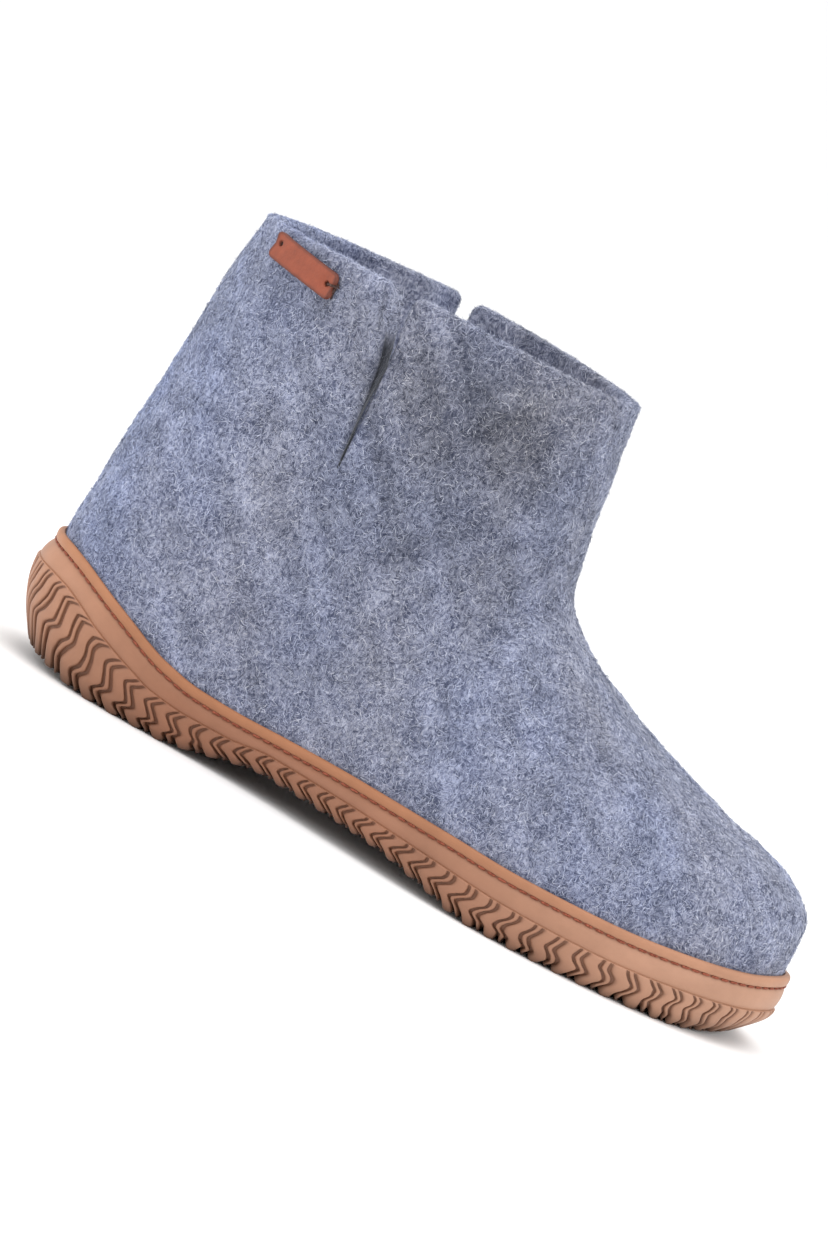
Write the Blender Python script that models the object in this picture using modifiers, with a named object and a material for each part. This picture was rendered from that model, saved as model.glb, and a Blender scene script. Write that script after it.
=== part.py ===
"""Felt ankle boot for the right foot: a hollow felted-wool upper with a slit on each side of
its collar, sewn into a moulded gum-rubber cup sole, with an insole and a small leather tag.

Metres, +Z up. +X runs to the toe, +Y to the inner (medial) side, -Y to the outer (lateral) side.
The heel and the ball of the foot stand on z = 0, and the origin is the middle of the footprint's
box. Tables below are in millimetres, x measured from the back of the heel, z from the ground.
"""
import bpy
import numpy as np

MM = 0.001

# Driving sizes
LENGTH = 279.7
FELT_WALL = 4.2
CUP_WALL = 2.3
FIT_GAP = 0.3
INSOLE_GAP = 0.4
INSOLE_THICK = 4.0
LUGS_PER_SIDE = 41
GROOVE_DEPTH = 2.0
GROOVE_LIFT = 1.2
CORNER_IN, CORNER_UP = 1.6, 2.6
BEAD_HEIGHT, SEAM_DEPTH, SEAM_HALF = 3.5, 0.9, 0.6
STEP_PROUD = 0.5
TOE_LIP_PROUD = 1.0
LATERAL, MEDIAL = -1.0, 1.0

# Footprint of the sole at its widest level, heel to toe tip: x, y
OUTER_EDGE = [
    (0.0, 0.0), (4.0, -15.0), (13.0, -26.5), (28.0, -34.5), (50.0, -37.5), (80.0, -36.0),
    (110.0, -38.0), (140.0, -44.5), (165.0, -50.0), (185.0, -52.3), (205.0, -51.0),
    (225.0, -46.0), (243.0, -38.0), (258.0, -28.5), (270.0, -16.0), (277.0, -3.5),
]
TOE_TIP = (LENGTH, 10.0)
INNER_EDGE = [
    (277.0, 23.5), (270.0, 34.0), (258.0, 42.8), (243.0, 48.8), (225.0, 52.0), (205.0, 52.3),
    (185.0, 50.3), (165.0, 46.0), (140.0, 39.5), (110.0, 34.5), (80.0, 34.5), (50.0, 37.0),
    (28.0, 34.5), (13.0, 26.5), (4.0, 15.0),
]

# Heights on the side of the sole: x, top of the lip, top of the ribbed band
SIDE_BANDS = [
    (0.0, 42.0, 30.2), (10.0, 41.6, 30.0), (19.5, 39.7, 29.3), (29.5, 36.8, 25.6), (36.0, 33.4, 22.0),
    (46.0, 29.6, 18.3), (54.0, 26.2, 15.7), (62.0, 23.6, 13.3), (76.0, 20.9, 11.8), (90.0, 20.5, 12.0),
    (107.0, 21.1, 13.9), (137.0, 22.2, 14.0), (170.0, 22.5, 13.2), (198.0, 21.9, 11.8),
    (231.0, 22.0, 11.4), (260.0, 23.6, 12.6), (272.0, 24.8, 13.4), (LENGTH, 26.4, 14.6),
]

# Underside: x, ground line, floor of the cup, how far the bottom edge is tucked in
UNDERSIDE = [
    (0.0, 9.0, 17.0, 9.5), (8.0, 6.0, 16.6, 8.5), (18.0, 3.4, 16.1, 7.0), (30.0, 1.6, 15.6, 5.0),
    (41.0, 0.0, 15.4, 4.0), (68.0, 0.0, 14.8, 3.0), (82.0, 2.0, 14.5, 2.4), (94.0, 5.0, 14.1, 2.4),
    (106.0, 7.0, 13.6, 2.2), (122.0, 7.0, 12.9, 2.2), (150.0, 6.2, 11.6, 2.2), (168.0, 3.8, 10.8, 2.4),
    (190.0, 0.0, 10.2, 2.6), (256.0, 0.0, 10.2, 4.0), (266.0, 1.4, 10.6, 6.0), (LENGTH, 7.0, 11.6, 9.0),
]

# Profile of the boot's back above the sole: z, x
BACK_LINE = [
    (12.0, 5.6), (30.0, 4.2), (42.0, 4.2), (60.0, 5.9), (80.0, 8.0), (100.0, 10.5), (120.0, 12.0),
    (140.0, 13.6), (161.5, 16.8), (170.0, 18.2),
]
# Profile of the boot's front, from the toe over the instep to the collar: x, z
FRONT_LINE = [
    (276.0, 20.0), (276.0, 36.0), (275.0, 43.0), (270.5, 49.4), (261.5, 54.8), (248.0, 59.3),
    (230.0, 63.8), (210.0, 70.3), (190.0, 78.2), (175.0, 86.0), (165.6, 93.0), (160.2, 103.0),
    (157.2, 120.0), (154.4, 140.0), (151.2, 164.0),
]
# Shaft: z, largest half width, length of its round back, length of its round front
SHAFT = [
    (20.0, 34.0, 42.0, 120.0), (60.0, 36.0, 46.0, 112.0), (90.0, 38.5, 56.0, 92.0),
    (120.0, 40.5, 66.0, 76.0), (164.0, 42.0, 68.0, 67.0), (180.0, 42.0, 68.0, 67.0),
]
# Rings of the upper: height at the back, height at the front, how much they follow the lip's dip
RINGS = [
    (50.0, 42.5, 0.85), (57.0, 49.4, 0.68), (65.0, 55.6, 0.52), (74.0, 60.8, 0.38), (83.0, 68.0, 0.25),
    (92.0, 78.0, 0.14), (100.0, 89.5, 0.05), (108.0, 101.0, 0.0), (117.0, 117.0, 0.0),
    (128.0, 132.0, 0.0), (139.0, 143.5, 0.0), (150.5, 154.0, 0.0), (161.8, 163.0, 0.0),
]
SLIT_RING = 7
SLIT_COLUMN = 14
# Side slits: z, rear edge x, front edge x
SLIT = [
    (104.0, 82.9, 83.5), (125.0, 82.2, 83.2), (138.0, 81.4, 82.9), (150.0, 79.0, 82.4),
    (158.0, 76.6, 81.9), (163.0, 74.6, 81.7), (170.0, 73.0, 81.6),
]
SLIT_FLARE = 4.0
COLLAR_CROWN = 1.8

# Leather tag on the outer side of the collar
TAG_LENGTH, TAG_HEIGHT, TAG_THICK = 29.0, 8.6, 1.4
TAG_X, TAG_Z, TAG_DROP = 42.8, 155.0, 2.4

FELT = {"name": "felt_blue_grey", "color": (0.22, 0.25, 0.33), "roughness": 0.95}
RUBBER = {"name": "rubber_gum", "color": (0.42, 0.20, 0.12), "roughness": 0.55}
LINING = {"name": "felt_insole", "color": (0.30, 0.31, 0.33), "roughness": 0.95}
LEATHER = {"name": "leather_tan", "color": (0.32, 0.11, 0.07), "roughness": 0.6}


def look_up(table, key, value):
    """Column `value` of a table read at `key`, straight between its rows."""
    rows = np.array(table)
    return np.interp(key, rows[:, 0], rows[:, value])


def smoothstep(t):
    """0 below 0, 1 above 1, and 3t^2 - 2t^3 between."""
    t = np.clip(t, 0.0, 1.0)
    return t * t * (3.0 - 2.0 * t)


def mix(a, b, t):
    """a at t = 0, b at t = 1."""
    return a + (b - a) * t


def spline(points, count, closed=False):
    """Catmull-Rom curve through the points, `count` samples for each span."""
    p = np.array(points, float)
    ends = (p[-1:], p[:2]) if closed else (2 * p[:1] - p[1:2], 2 * p[-1:] - p[-2:-1])
    p = np.vstack([ends[0], p, ends[1]])
    t = np.linspace(0.0, 1.0, count, endpoint=False)[:, None, None]
    a, b, c, d = (p[i:len(p) - 3 + i][None] for i in range(4))
    curve = 0.5 * (2 * b + (c - a) * t + (2 * a - 5 * b + 4 * c - d) * t ** 2
                   + (3 * b - a - 3 * c + d) * t ** 3)
    curve = curve.transpose(1, 0, 2).reshape(-1, 2)
    return curve if closed else np.vstack([curve, p[-2:-1]])


def even_steps(curve, count):
    """`count` + 1 points at equal distances along an open curve."""
    run = np.concatenate([[0.0], np.cumsum(np.hypot(*np.diff(curve, axis=0).T))])
    at = np.linspace(0.0, run[-1], count + 1)
    return np.stack([np.interp(at, run, curve[:, i]) for i in (0, 1)], axis=1)


def inset(loop, distance):
    """A closed loop moved inwards along its own normals."""
    ahead = np.roll(loop, -1, axis=0) - np.roll(loop, 1, axis=0)
    ahead /= np.hypot(*ahead.T)[:, None]
    inward = np.stack([-ahead[:, 1], ahead[:, 0]], axis=1)
    return loop + inward * np.broadcast_to(distance, len(loop))[:, None]


# The footprint, counter-clockwise from the heel along the outer side to the toe and back
WHOLE_EDGE = spline(OUTER_EDGE + [TOE_TIP] + INNER_EDGE, 24, closed=True)
TIP_INDEX = 24 * len(OUTER_EDGE)
ORIGIN_X = 0.5 * (LENGTH - STEP_PROUD)
ORIGIN_Y = 0.5 * (WHOLE_EDGE[:, 1].min() + WHOLE_EDGE[:, 1].max())


def footprint(per_side):
    """The footprint as 2 * per_side points: heel, outer side, toe tip, inner side."""
    outer = even_steps(WHOLE_EDGE[:TIP_INDEX + 1], per_side)
    inner = even_steps(np.vstack([WHOLE_EDGE[TIP_INDEX:], WHOLE_EDGE[:1]]), per_side)
    return np.vstack([outer[:-1], inner[:-1]])


def toe_share(x):
    """0 along the boot, 1 at the tip of the toe."""
    return smoothstep((x - 235.0) / 40.0)


def cup_inset(x):
    """Distance from the footprint in to the inside of the cup's wall."""
    return CUP_WALL + mix(2.2, 1.2, smoothstep(x / 50.0))


def upper_inset(x):
    """Distance from the footprint in to the outside of the felt, inside the cup."""
    return cup_inset(x) + FIT_GAP


FELT_EDGE = inset(WHOLE_EDGE, upper_inset(WHOLE_EDGE[:, 0]))
FRONT_CURVE = spline(FRONT_LINE, 24)


def ridge(x):
    """y of the line that runs down the middle of the boot to the toe tip."""
    return TOE_TIP[1] * smoothstep((x - 100.0) / 170.0)


def plan_width(side, x):
    """Half width of the felt at the lip of the sole, from the ridge line."""
    half = FELT_EDGE[:TIP_INDEX + 1] if side == LATERAL else FELT_EDGE[TIP_INDEX:][::-1]
    return np.maximum(side * (np.interp(x, half[:, 0], half[:, 1]) - ridge(x)), 0.0)


def round_end(t):
    """Quarter circle: 0 at t = 0, 1 from t = 1."""
    t = np.clip(t, 0.0, 1.0)
    return np.sqrt(t * (2.0 - t))


def upper_width(side, x, z):
    """Half width of the upper at a point of its side view.

    In front it is the footprint's width times a dome that closes on the instep line. Behind it is
    an oval between the back line and the front line. The two are blended over the ankle.
    """
    lip = look_up(SIDE_BANDS, x, 1)
    top = np.interp(x, FRONT_CURVE[::-1, 0], FRONT_CURVE[::-1, 1]) + 3.0 * np.maximum(151.6 - x, 0.0)
    rise = np.clip((z - lip - 4.0) / (top - lip - 4.0), 0.0, 1.0)
    foot = plan_width(side, x) * np.sqrt(1.0 - rise ** 2.1)

    back = look_up(BACK_LINE, z, 1)
    front = np.interp(z, FRONT_CURVE[:, 1], FRONT_CURVE[:, 0])
    oval = (look_up(SHAFT, z, 1) * round_end((x - back) / look_up(SHAFT, z, 2))
            * round_end((front - x) / look_up(SHAFT, z, 3)))
    heel = plan_width(side, x - (back - back.min()))
    rear = mix(heel, oval, smoothstep((z - lip) / 55.0))

    high = np.minimum((z - 20.0) / 80.0, 1.1)
    start, end = mix(100.0, 160.0, high), mix(150.0, 178.0, high)
    width = mix(rear, foot, smoothstep((x - start) / (end - start)))
    behind_slit = look_up(SLIT, z, 1) + 0.01 - x
    flare = SLIT_FLARE * smoothstep((z - 104.0) / 56.0) * np.clip(1.0 - behind_slit / 34.0, 0.0, 1.0) ** 2
    return width + np.where(behind_slit >= 0.0, flare, 0.0)


def collar_crown(x):
    """Extra height of the collar between its back and its front."""
    return COLLAR_CROWN * np.sin(np.pi * np.clip((x - 17.0) / 135.0, 0.0, 1.0)) ** 1.1


def upper_rings(per_side):
    """Rings of points on the outside of the upper, from the cup's floor to the collar."""
    felt = inset(footprint(per_side), upper_inset(footprint(per_side)[:, 0]))
    floor = look_up(UNDERSIDE, felt[:, 0], 2) + FIT_GAP
    lip = look_up(SIDE_BANDS, felt[:, 0], 1)
    tucked = inset(felt, CORNER_IN)
    rings = [np.column_stack([tucked, floor]),
             np.column_stack([felt, floor + CORNER_UP]),
             np.column_stack([felt, np.maximum(lip - 2.0, floor + 4.0)])]
    low = rings[-1][:per_side + 1]
    share_low = (low[:, 0] - low[0, 0]) / (low[-1, 0] - low[0, 0])
    dip = low[:, 2] - mix(low[0, 2], low[-1, 2], share_low)
    step = np.arange(per_side + 1)
    for number, (back_z, front_z, follow) in enumerate(RINGS):
        back_x = look_up(BACK_LINE, back_z, 1)
        front_x = np.interp(front_z, FRONT_CURVE[:, 1], FRONT_CURVE[:, 0])
        level = number / (len(RINGS) - 1)
        share = mix(share_low, 0.5 - 0.5 * np.cos(np.pi * step / per_side), level ** 0.8)
        x = mix(back_x, front_x, share)
        z = mix(back_z, front_z, share)
        rear_x, fore_x = look_up(SLIT, z[SLIT_COLUMN], 1), look_up(SLIT, z[SLIT_COLUMN], 2)
        pull = smoothstep((number + 1.0) / (SLIT_RING + 1.0)) if number < SLIT_RING else 1.0
        behind, ahead = x[:SLIT_COLUMN + 1], x[SLIT_COLUMN + 1:]
        rear_pull = mix(1.0, (rear_x - back_x) / (behind[-1] - back_x), pull)
        fore_pull = mix(1.0, (front_x - fore_x) / (front_x - ahead[0]), pull)
        x = np.concatenate([back_x + (behind - back_x) * rear_pull, front_x - (front_x - ahead) * fore_pull])
        z = mix(back_z, front_z, (x - back_x) / (front_x - back_x))
        z = z + follow * np.interp(x, low[:, 0], dip)
        if number == len(RINGS) - 1:
            z = z + collar_crown(x)
        outer = np.stack([x, ridge(x) * (z < 110.0) - upper_width(LATERAL, x, z), z], axis=1)
        inner = np.stack([x, ridge(x) * (z < 110.0) + upper_width(MEDIAL, x, z), z], axis=1)
        outer[[0, -1], 1] = inner[[0, -1], 1] = (ridge(x) * (z < 110.0))[[0, -1]]
        rings.append(np.vstack([outer, inner[-2:0:-1]]))
    return rings


def ring_faces(rows, columns, start=0):
    """Quads between rings of equal length, as a list of index rows, outside to the right."""
    row, column = np.meshgrid(np.arange(rows - 1), np.arange(columns), indexing="ij")
    a = start + row * columns + column
    b = start + row * columns + (column + 1) % columns
    return np.stack([a, b, b + columns, a + columns], axis=-1)


def mesh_object(name, points, faces, finish, collection):
    """A mesh object from points in the tables' millimetres, moved to the boot's own origin."""
    moved = (np.asarray(points) - [ORIGIN_X, ORIGIN_Y, 0.0]) * MM
    mesh = bpy.data.meshes.new(name)
    mesh.from_pydata([tuple(p) for p in moved], [], [tuple(int(i) for i in f) for f in faces])
    mesh.update()
    mesh.shade_smooth()
    mesh.set_sharp_from_angle(angle=np.radians(40.0))
    mesh.materials.append(material(finish))
    piece = bpy.data.objects.new(name, mesh)
    collection.objects.link(piece)
    return piece


def material(finish):
    """A Principled material from a finish table."""
    found = bpy.data.materials.get(finish["name"])
    if found:
        return found
    made = bpy.data.materials.new(finish["name"])
    made.use_nodes = True
    shader = made.node_tree.nodes["Principled BSDF"]
    shader.inputs["Base Color"].default_value = (*finish["color"], 1.0)
    shader.inputs["Roughness"].default_value = finish["roughness"]
    shader.inputs["Metallic"].default_value = 0.0
    return made


def make_upper(collection):
    """The felt: an open sheet of rings with two slits, thickened inwards."""
    rings = upper_rings(LUGS_PER_SIDE)
    columns = len(rings[0])
    quads = ring_faces(len(rings), columns)
    buried = len(rings) - len(RINGS)
    keep = np.ones(quads.shape[:2], bool)
    keep[buried + SLIT_RING:, SLIT_COLUMN] = False
    keep[buried + SLIT_RING:, columns - SLIT_COLUMN - 1] = False
    upper = mesh_object("upper", np.vstack(rings), quads[keep], FELT, collection)
    wall = upper.modifiers.new("felt_wall", "SOLIDIFY")
    wall.thickness = FELT_WALL * MM
    wall.offset = -1.0
    wall.use_even_offset = True
    return upper


def sole_section(x):
    """Rows of the smooth side of the sole at a station, from the cup's floor up and over the lip.

    Each row is a distance in from the footprint and a height.
    """
    floor = look_up(UNDERSIDE, x, 2)
    lip = look_up(SIDE_BANDS, x, 1)
    band = look_up(SIDE_BANDS, x, 2)
    cup = cup_inset(x)
    face = cup - CUP_WALL - TOE_LIP_PROUD * toe_share(x)
    seam = lip - BEAD_HEIGHT - SEAM_HALF
    return [
        (cup + CORNER_IN, floor), (cup, floor + CORNER_UP), (cup, lip - 0.7), (cup - 0.9, lip),
        (face + 0.7, lip), (face, lip - 1.2), (face + 0.1, lip - BEAD_HEIGHT),
        (face + 0.1 + SEAM_DEPTH, seam), (face + 0.1, seam - SEAM_HALF),
        (0.3 * face - 0.2, mix(band, seam - SEAM_HALF, 0.4)),
        (0.3 + toe_share(x), band),
    ]


# Ribbed band from its top edge down: share of the height, zigzag along the side, share of the groove
RIB_ROWS = [(0.0, 0.0, 0.0), (0.14, -0.5, 1.0), (0.38, -2.8, 1.0), (0.72, 0.4, 1.0), (1.0, -2.2, 1.0)]
# Across the bottom: share of the way from the outer to the inner edge, zigzag to and fro
TREAD_ROWS = [(0.1, 0.6), (0.3, -1.6), (0.5, 1.6), (0.7, -1.6), (0.9, 0.6)]
# Across one lug: share of the pitch, share of the groove's depth
LUG_COLUMNS = [(0.0, 0.0), (0.62, 0.0), (0.81, 1.0)]


def rib_ring(share, zigzag, depth):
    """One ring of the ribbed band: the footprint's points slid along it, tucked in and grooved."""
    per_side = LUGS_PER_SIDE * len(LUG_COLUMNS)
    pitch = 1.0 / LUGS_PER_SIDE
    lug = np.repeat(np.arange(LUGS_PER_SIDE), len(LUG_COLUMNS)) * pitch
    place = lug + np.tile([c[0] for c in LUG_COLUMNS], LUGS_PER_SIDE) * pitch
    cut = np.tile([c[1] for c in LUG_COLUMNS], LUGS_PER_SIDE)
    sides = []
    for curve in (WHOLE_EDGE[:TIP_INDEX + 1], np.vstack([WHOLE_EDGE[TIP_INDEX:], WHOLE_EDGE[:1]])[::-1]):
        fine = even_steps(curve, 20 * per_side)
        run = np.linspace(0.0, 1.0, len(fine))
        span = np.hypot(*np.diff(fine, axis=0).T).sum()
        tall = look_up(SIDE_BANDS, np.interp(place, run, fine[:, 0]), 2) / 20.0
        slide = zigzag * tall / span * smoothstep(np.minimum(place, 1.0 - place) / 0.06)
        at = place + slide
        sides.append(np.stack([np.interp(at, run, fine[:, 0]), np.interp(at, run, fine[:, 1])], axis=1))
    outer = np.vstack([sides[0], [TOE_TIP]])
    inner = sides[1][1:][::-1]
    loop = np.vstack([outer, inner])
    cuts = np.concatenate([cut, [0.0], cut[1:][::-1]])
    x = loop[:, 0]
    band = look_up(SIDE_BANDS, x, 2) - 0.3
    tuck = look_up(UNDERSIDE, x, 3)
    moved = inset(loop, toe_share(x) - STEP_PROUD + tuck * share ** 2.4 + GROOVE_DEPTH * cuts * depth)
    ground = look_up(UNDERSIDE, moved[:, 0], 1)
    lift = GROOVE_LIFT * cuts * depth * share ** 3
    return np.column_stack([moved, mix(band, ground, share) + lift]), cuts


def zip_rings(coarse, fine, step):
    """Triangles between a ring and a ring with `step` times its points, both as index arrays."""
    count = len(coarse)
    faces = []
    for k in range(count):
        c, d = coarse[k], coarse[(k + 1) % count]
        run = [fine[(k * step + i) % len(fine)] for i in range(step + 1)]
        half = step // 2 + 1
        faces += [(c, run[i], run[i + 1]) for i in range(half)]
        faces += [(c, run[half], d)]
        faces += [(d, run[i], run[i + 1]) for i in range(half, step)]
    return faces


def make_outsole(collection):
    """The cup sole: floor, lip, smooth band, ribbed band and grooved underside as one closed skin."""
    base = footprint(LUGS_PER_SIDE)
    columns = len(base)
    points, faces = [], []
    for distance, height in sole_section(base[:, 0]):
        points.append(np.column_stack([inset(base, distance), height]))
    rows = len(points)
    quads = ring_faces(rows, columns).reshape(-1, 4)
    faces += quads[:, ::-1].tolist()
    half = columns // 2
    faces += [(1, columns - 1, 0)]
    faces += [(k + 1, columns - k - 1, columns - k, k) for k in range(1, half - 1)]
    faces += [(half, half + 1, half - 1)]

    first = rows * columns
    step = len(LUG_COLUMNS)
    fine = columns * step
    cuts = None
    for share, zigzag, depth in RIB_ROWS:
        ring, cuts = rib_ring(share, zigzag, depth)
        points.append(ring)
    last_coarse = np.arange(columns) + (rows - 1) * columns
    faces += zip_rings(last_coarse, first + np.arange(fine), step)
    quads = ring_faces(len(RIB_ROWS), fine, first).reshape(-1, 4)
    faces += quads[:, ::-1].tolist()

    edge = points[-1]
    edge_index = first + (len(RIB_ROWS) - 1) * fine + np.arange(fine)
    side = fine // 2
    left = edge[1:side]
    right = edge[:side:-1]
    fade = smoothstep(np.minimum(left[:, 0] - 12.0, LENGTH - 12.0 - left[:, 0]) / 16.0)
    across = []
    for share, zigzag in TREAD_ROWS:
        line = mix(left, right, share)
        line[:, 0] += zigzag * fade
        line[:, 2] = look_up(UNDERSIDE, line[:, 0], 1) + GROOVE_DEPTH * cuts[1:side] * fade
        across.append(line)
    start = sum(len(p) for p in points)
    points += across
    width = side - 1
    ladders = [edge_index[1:side]]
    ladders += [start + i * width + np.arange(width) for i in range(len(TREAD_ROWS))]
    ladders += [edge_index[:side:-1]]
    for a, b in zip(ladders[:-1], ladders[1:]):
        faces += [(a[i], b[i], b[i + 1], a[i + 1]) for i in range(width - 1)]
        faces += [(edge_index[0], b[0], a[0]), (a[-1], b[-1], edge_index[side])]
    return mesh_object("outsole", np.vstack(points), faces, RUBBER, collection)


def make_insole(collection):
    """A felt board inside the foot of the wall, lying on the cup's floor."""
    felt = inset(footprint(LUGS_PER_SIDE), upper_inset(footprint(LUGS_PER_SIDE)[:, 0]))
    edge = inset(felt, CORNER_IN + FELT_WALL + 2.0 * FIT_GAP)
    floor = look_up(UNDERSIDE, edge[:, 0], 2) + INSOLE_GAP
    columns = len(edge)
    points = np.vstack([np.column_stack([edge, floor]), np.column_stack([edge, floor + INSOLE_THICK])])
    half = columns // 2
    lower = [(0, columns - 1, 1)]
    lower += [(k, columns - k, columns - k - 1, k + 1) for k in range(1, half - 1)]
    lower += [(half - 1, half + 1, half)]
    faces = lower + [tuple(columns + i for i in f[::-1]) for f in lower]
    faces += ring_faces(2, columns).reshape(-1, 4).tolist()
    return mesh_object("insole", points, faces, LINING, collection)


def make_tag(collection):
    """The leather tag: a rounded strip bent round the outer side of the collar."""
    along, up = np.meshgrid(np.linspace(-1.0, 1.0, 9), np.linspace(-1.0, 1.0, 5))
    shrink = 1.0 - 0.28 * np.clip((np.abs(along) - 0.75) / 0.25, 0.0, 1.0) ** 2
    lean = np.sin(np.arctan(15.0 / 28.0))
    x = TAG_X + 0.5 * TAG_LENGTH * along * np.sqrt(1.0 - lean ** 2)
    z = TAG_Z + 0.5 * TAG_HEIGHT * up * shrink - TAG_DROP * 0.5 * along
    y = -upper_width(LATERAL, x, z)
    slope = (upper_width(LATERAL, x + 0.5, z) - upper_width(LATERAL, x - 0.5, z))
    lean_z = (upper_width(LATERAL, x, z + 0.5) - upper_width(LATERAL, x, z - 0.5))
    normal = np.stack([-slope, -np.ones_like(x), -lean_z], axis=-1)
    normal /= np.linalg.norm(normal, axis=-1)[..., None]
    spot = np.stack([x, y, z], axis=-1) + normal * (FIT_GAP + 0.25)
    rows, columns = x.shape
    row, column = np.meshgrid(np.arange(rows - 1), np.arange(columns - 1), indexing="ij")
    a = row * columns + column
    faces = np.stack([a, a + 1, a + columns + 1, a + columns], axis=-1).reshape(-1, 4)
    tag = mesh_object("leather_tag", spot.reshape(-1, 3), faces, LEATHER, collection)
    wall = tag.modifiers.new("tag_thickness", "SOLIDIFY")
    wall.thickness = TAG_THICK * MM
    wall.offset = 1.0
    return tag


def main():
    """Clear the scene and build the four pieces."""
    for old in list(bpy.data.objects):
        bpy.data.objects.remove(old, do_unlink=True)
    collection = bpy.data.collections.new("felt_ankle_boot")
    bpy.context.scene.collection.children.link(collection)
    make_outsole(collection)
    make_upper(collection)
    make_insole(collection)
    make_tag(collection)


main()
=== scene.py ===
# %% [markdown]
# A felt ankle boot for the right foot. A maker felts one thick seamless sock of wool over a last,
# cuts its collar, slits both sides of it, and sews the foot into a moulded rubber cup sole. The
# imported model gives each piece's size and place, and this script gives the pieces their finish.

import bpy
import numpy as np
from mathutils import Matrix, Vector


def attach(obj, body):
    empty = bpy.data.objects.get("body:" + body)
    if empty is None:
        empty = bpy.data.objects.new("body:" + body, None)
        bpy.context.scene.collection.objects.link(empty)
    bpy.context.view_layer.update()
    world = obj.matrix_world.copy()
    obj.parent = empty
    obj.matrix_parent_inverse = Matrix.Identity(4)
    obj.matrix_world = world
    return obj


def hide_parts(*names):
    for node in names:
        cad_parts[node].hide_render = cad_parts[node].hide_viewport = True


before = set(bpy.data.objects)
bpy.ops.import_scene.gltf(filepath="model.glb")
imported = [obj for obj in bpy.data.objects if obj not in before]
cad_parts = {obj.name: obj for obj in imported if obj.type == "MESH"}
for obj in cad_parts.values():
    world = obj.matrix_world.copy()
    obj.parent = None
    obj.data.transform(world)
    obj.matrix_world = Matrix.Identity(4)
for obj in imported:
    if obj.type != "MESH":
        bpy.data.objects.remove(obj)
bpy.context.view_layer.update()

MM = 0.001

# %% [markdown]
# The camera comes first. The photo was taken from the outer side, a little towards the toe and a
# little above the ground, with the boot tipped toe down. The boot stands here, so the camera is
# rolled instead. A long lens gives the flat perspective of a product photo.

# %% camera
AZIMUTH, ELEVATION, ROLL = np.radians([11.54, 7.66, 27.62])
TARGET = np.array([-0.0201, 0.0, 0.0688])
CAMERA_DISTANCE = 2.0
LENS, SENSOR_HEIGHT = 181.45, 36.0
forward = np.array([-np.sin(AZIMUTH) * np.cos(ELEVATION), np.cos(AZIMUTH) * np.cos(ELEVATION),
                    -np.sin(ELEVATION)])
level_right = np.array([np.cos(AZIMUTH), np.sin(AZIMUTH), 0.0])
level_up = np.cross(level_right, forward)
camera_right = np.cos(ROLL) * level_right + np.sin(ROLL) * level_up
camera_up = -np.sin(ROLL) * level_right + np.cos(ROLL) * level_up
camera_place = np.eye(4)
camera_place[:3, :3] = np.stack([camera_right, camera_up, -forward], axis=1)
camera_place[:3, 3] = TARGET - CAMERA_DISTANCE * forward

camera = bpy.data.objects.new("camera", bpy.data.cameras.new("camera"))
camera.data.sensor_fit = "VERTICAL"
camera.data.sensor_height = SENSOR_HEIGHT
camera.data.lens = LENS
camera.matrix_world = Matrix(camera_place.tolist())
bpy.context.scene.collection.objects.link(camera)
bpy.context.scene.camera = camera
print("camera at", np.round(camera_place[:3, 3], 4).tolist())

# %% [markdown]
# The boot's sizes are short tables in millimetres, x from the back of the heel and z from the
# ground, as a last maker writes them. A table is read with a smooth curve through its rows that
# never overshoots, so a level stretch of the sole stays level.

# %% sizes of the last and the sole
LENGTH = 279.7
FELT_WALL = 4.2
CUP_WALL = 2.3
FIT_GAP = 0.3
INSOLE_GAP = 0.4
INSOLE_THICK = 4.0
LUGS_PER_SIDE = 41
STEP_PROUD = 0.5
TOE_LIP_PROUD = 0.4
CORNER_IN, CORNER_UP = 1.6, 2.6
BEAD_HEIGHT, SEAM_DEPTH, SEAM_HALF = 3.2, 0.7, 0.45
LATERAL, MEDIAL = -1.0, 1.0
ORIGIN_X = 0.5 * (LENGTH - STEP_PROUD)

# Footprint: x, y
OUTER_EDGE = [
    (0.0, 0.0), (4.0, -15.0), (13.0, -26.5), (28.0, -34.5), (50.0, -37.5), (80.0, -36.0),
    (110.0, -38.0), (140.0, -44.5), (165.0, -50.0), (185.0, -52.3), (205.0, -51.0),
    (225.0, -46.0), (243.0, -38.0), (258.0, -28.5), (270.0, -16.0), (277.0, -3.5),
]
TOE_TIP = (LENGTH, 10.0)
INNER_EDGE = [
    (277.0, 23.5), (270.0, 34.0), (258.0, 42.8), (243.0, 48.8), (225.0, 52.0), (205.0, 52.3),
    (185.0, 50.3), (165.0, 46.0), (140.0, 39.5), (110.0, 34.5), (80.0, 34.5), (50.0, 37.0),
    (28.0, 34.5), (13.0, 26.5), (4.0, 15.0),
]
# Side of the sole: x, top of the lip, top of the ribbed band
SIDE_BANDS = [
    (0.0, 40.6, 30.2), (10.0, 40.2, 29.9), (19.5, 38.6, 28.7), (27.0, 36.4, 26.3), (36.0, 33.2, 22.3),
    (46.0, 29.5, 18.5), (54.0, 26.3, 15.8), (62.0, 23.6, 13.3), (76.0, 20.9, 11.8), (90.0, 20.5, 12.0),
    (107.0, 21.1, 13.9), (137.0, 22.2, 14.0), (170.0, 22.5, 13.2), (198.0, 21.9, 11.8),
    (231.0, 22.0, 11.4), (260.0, 23.6, 12.6), (272.0, 24.8, 13.4), (LENGTH, 26.4, 14.6),
]
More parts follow.
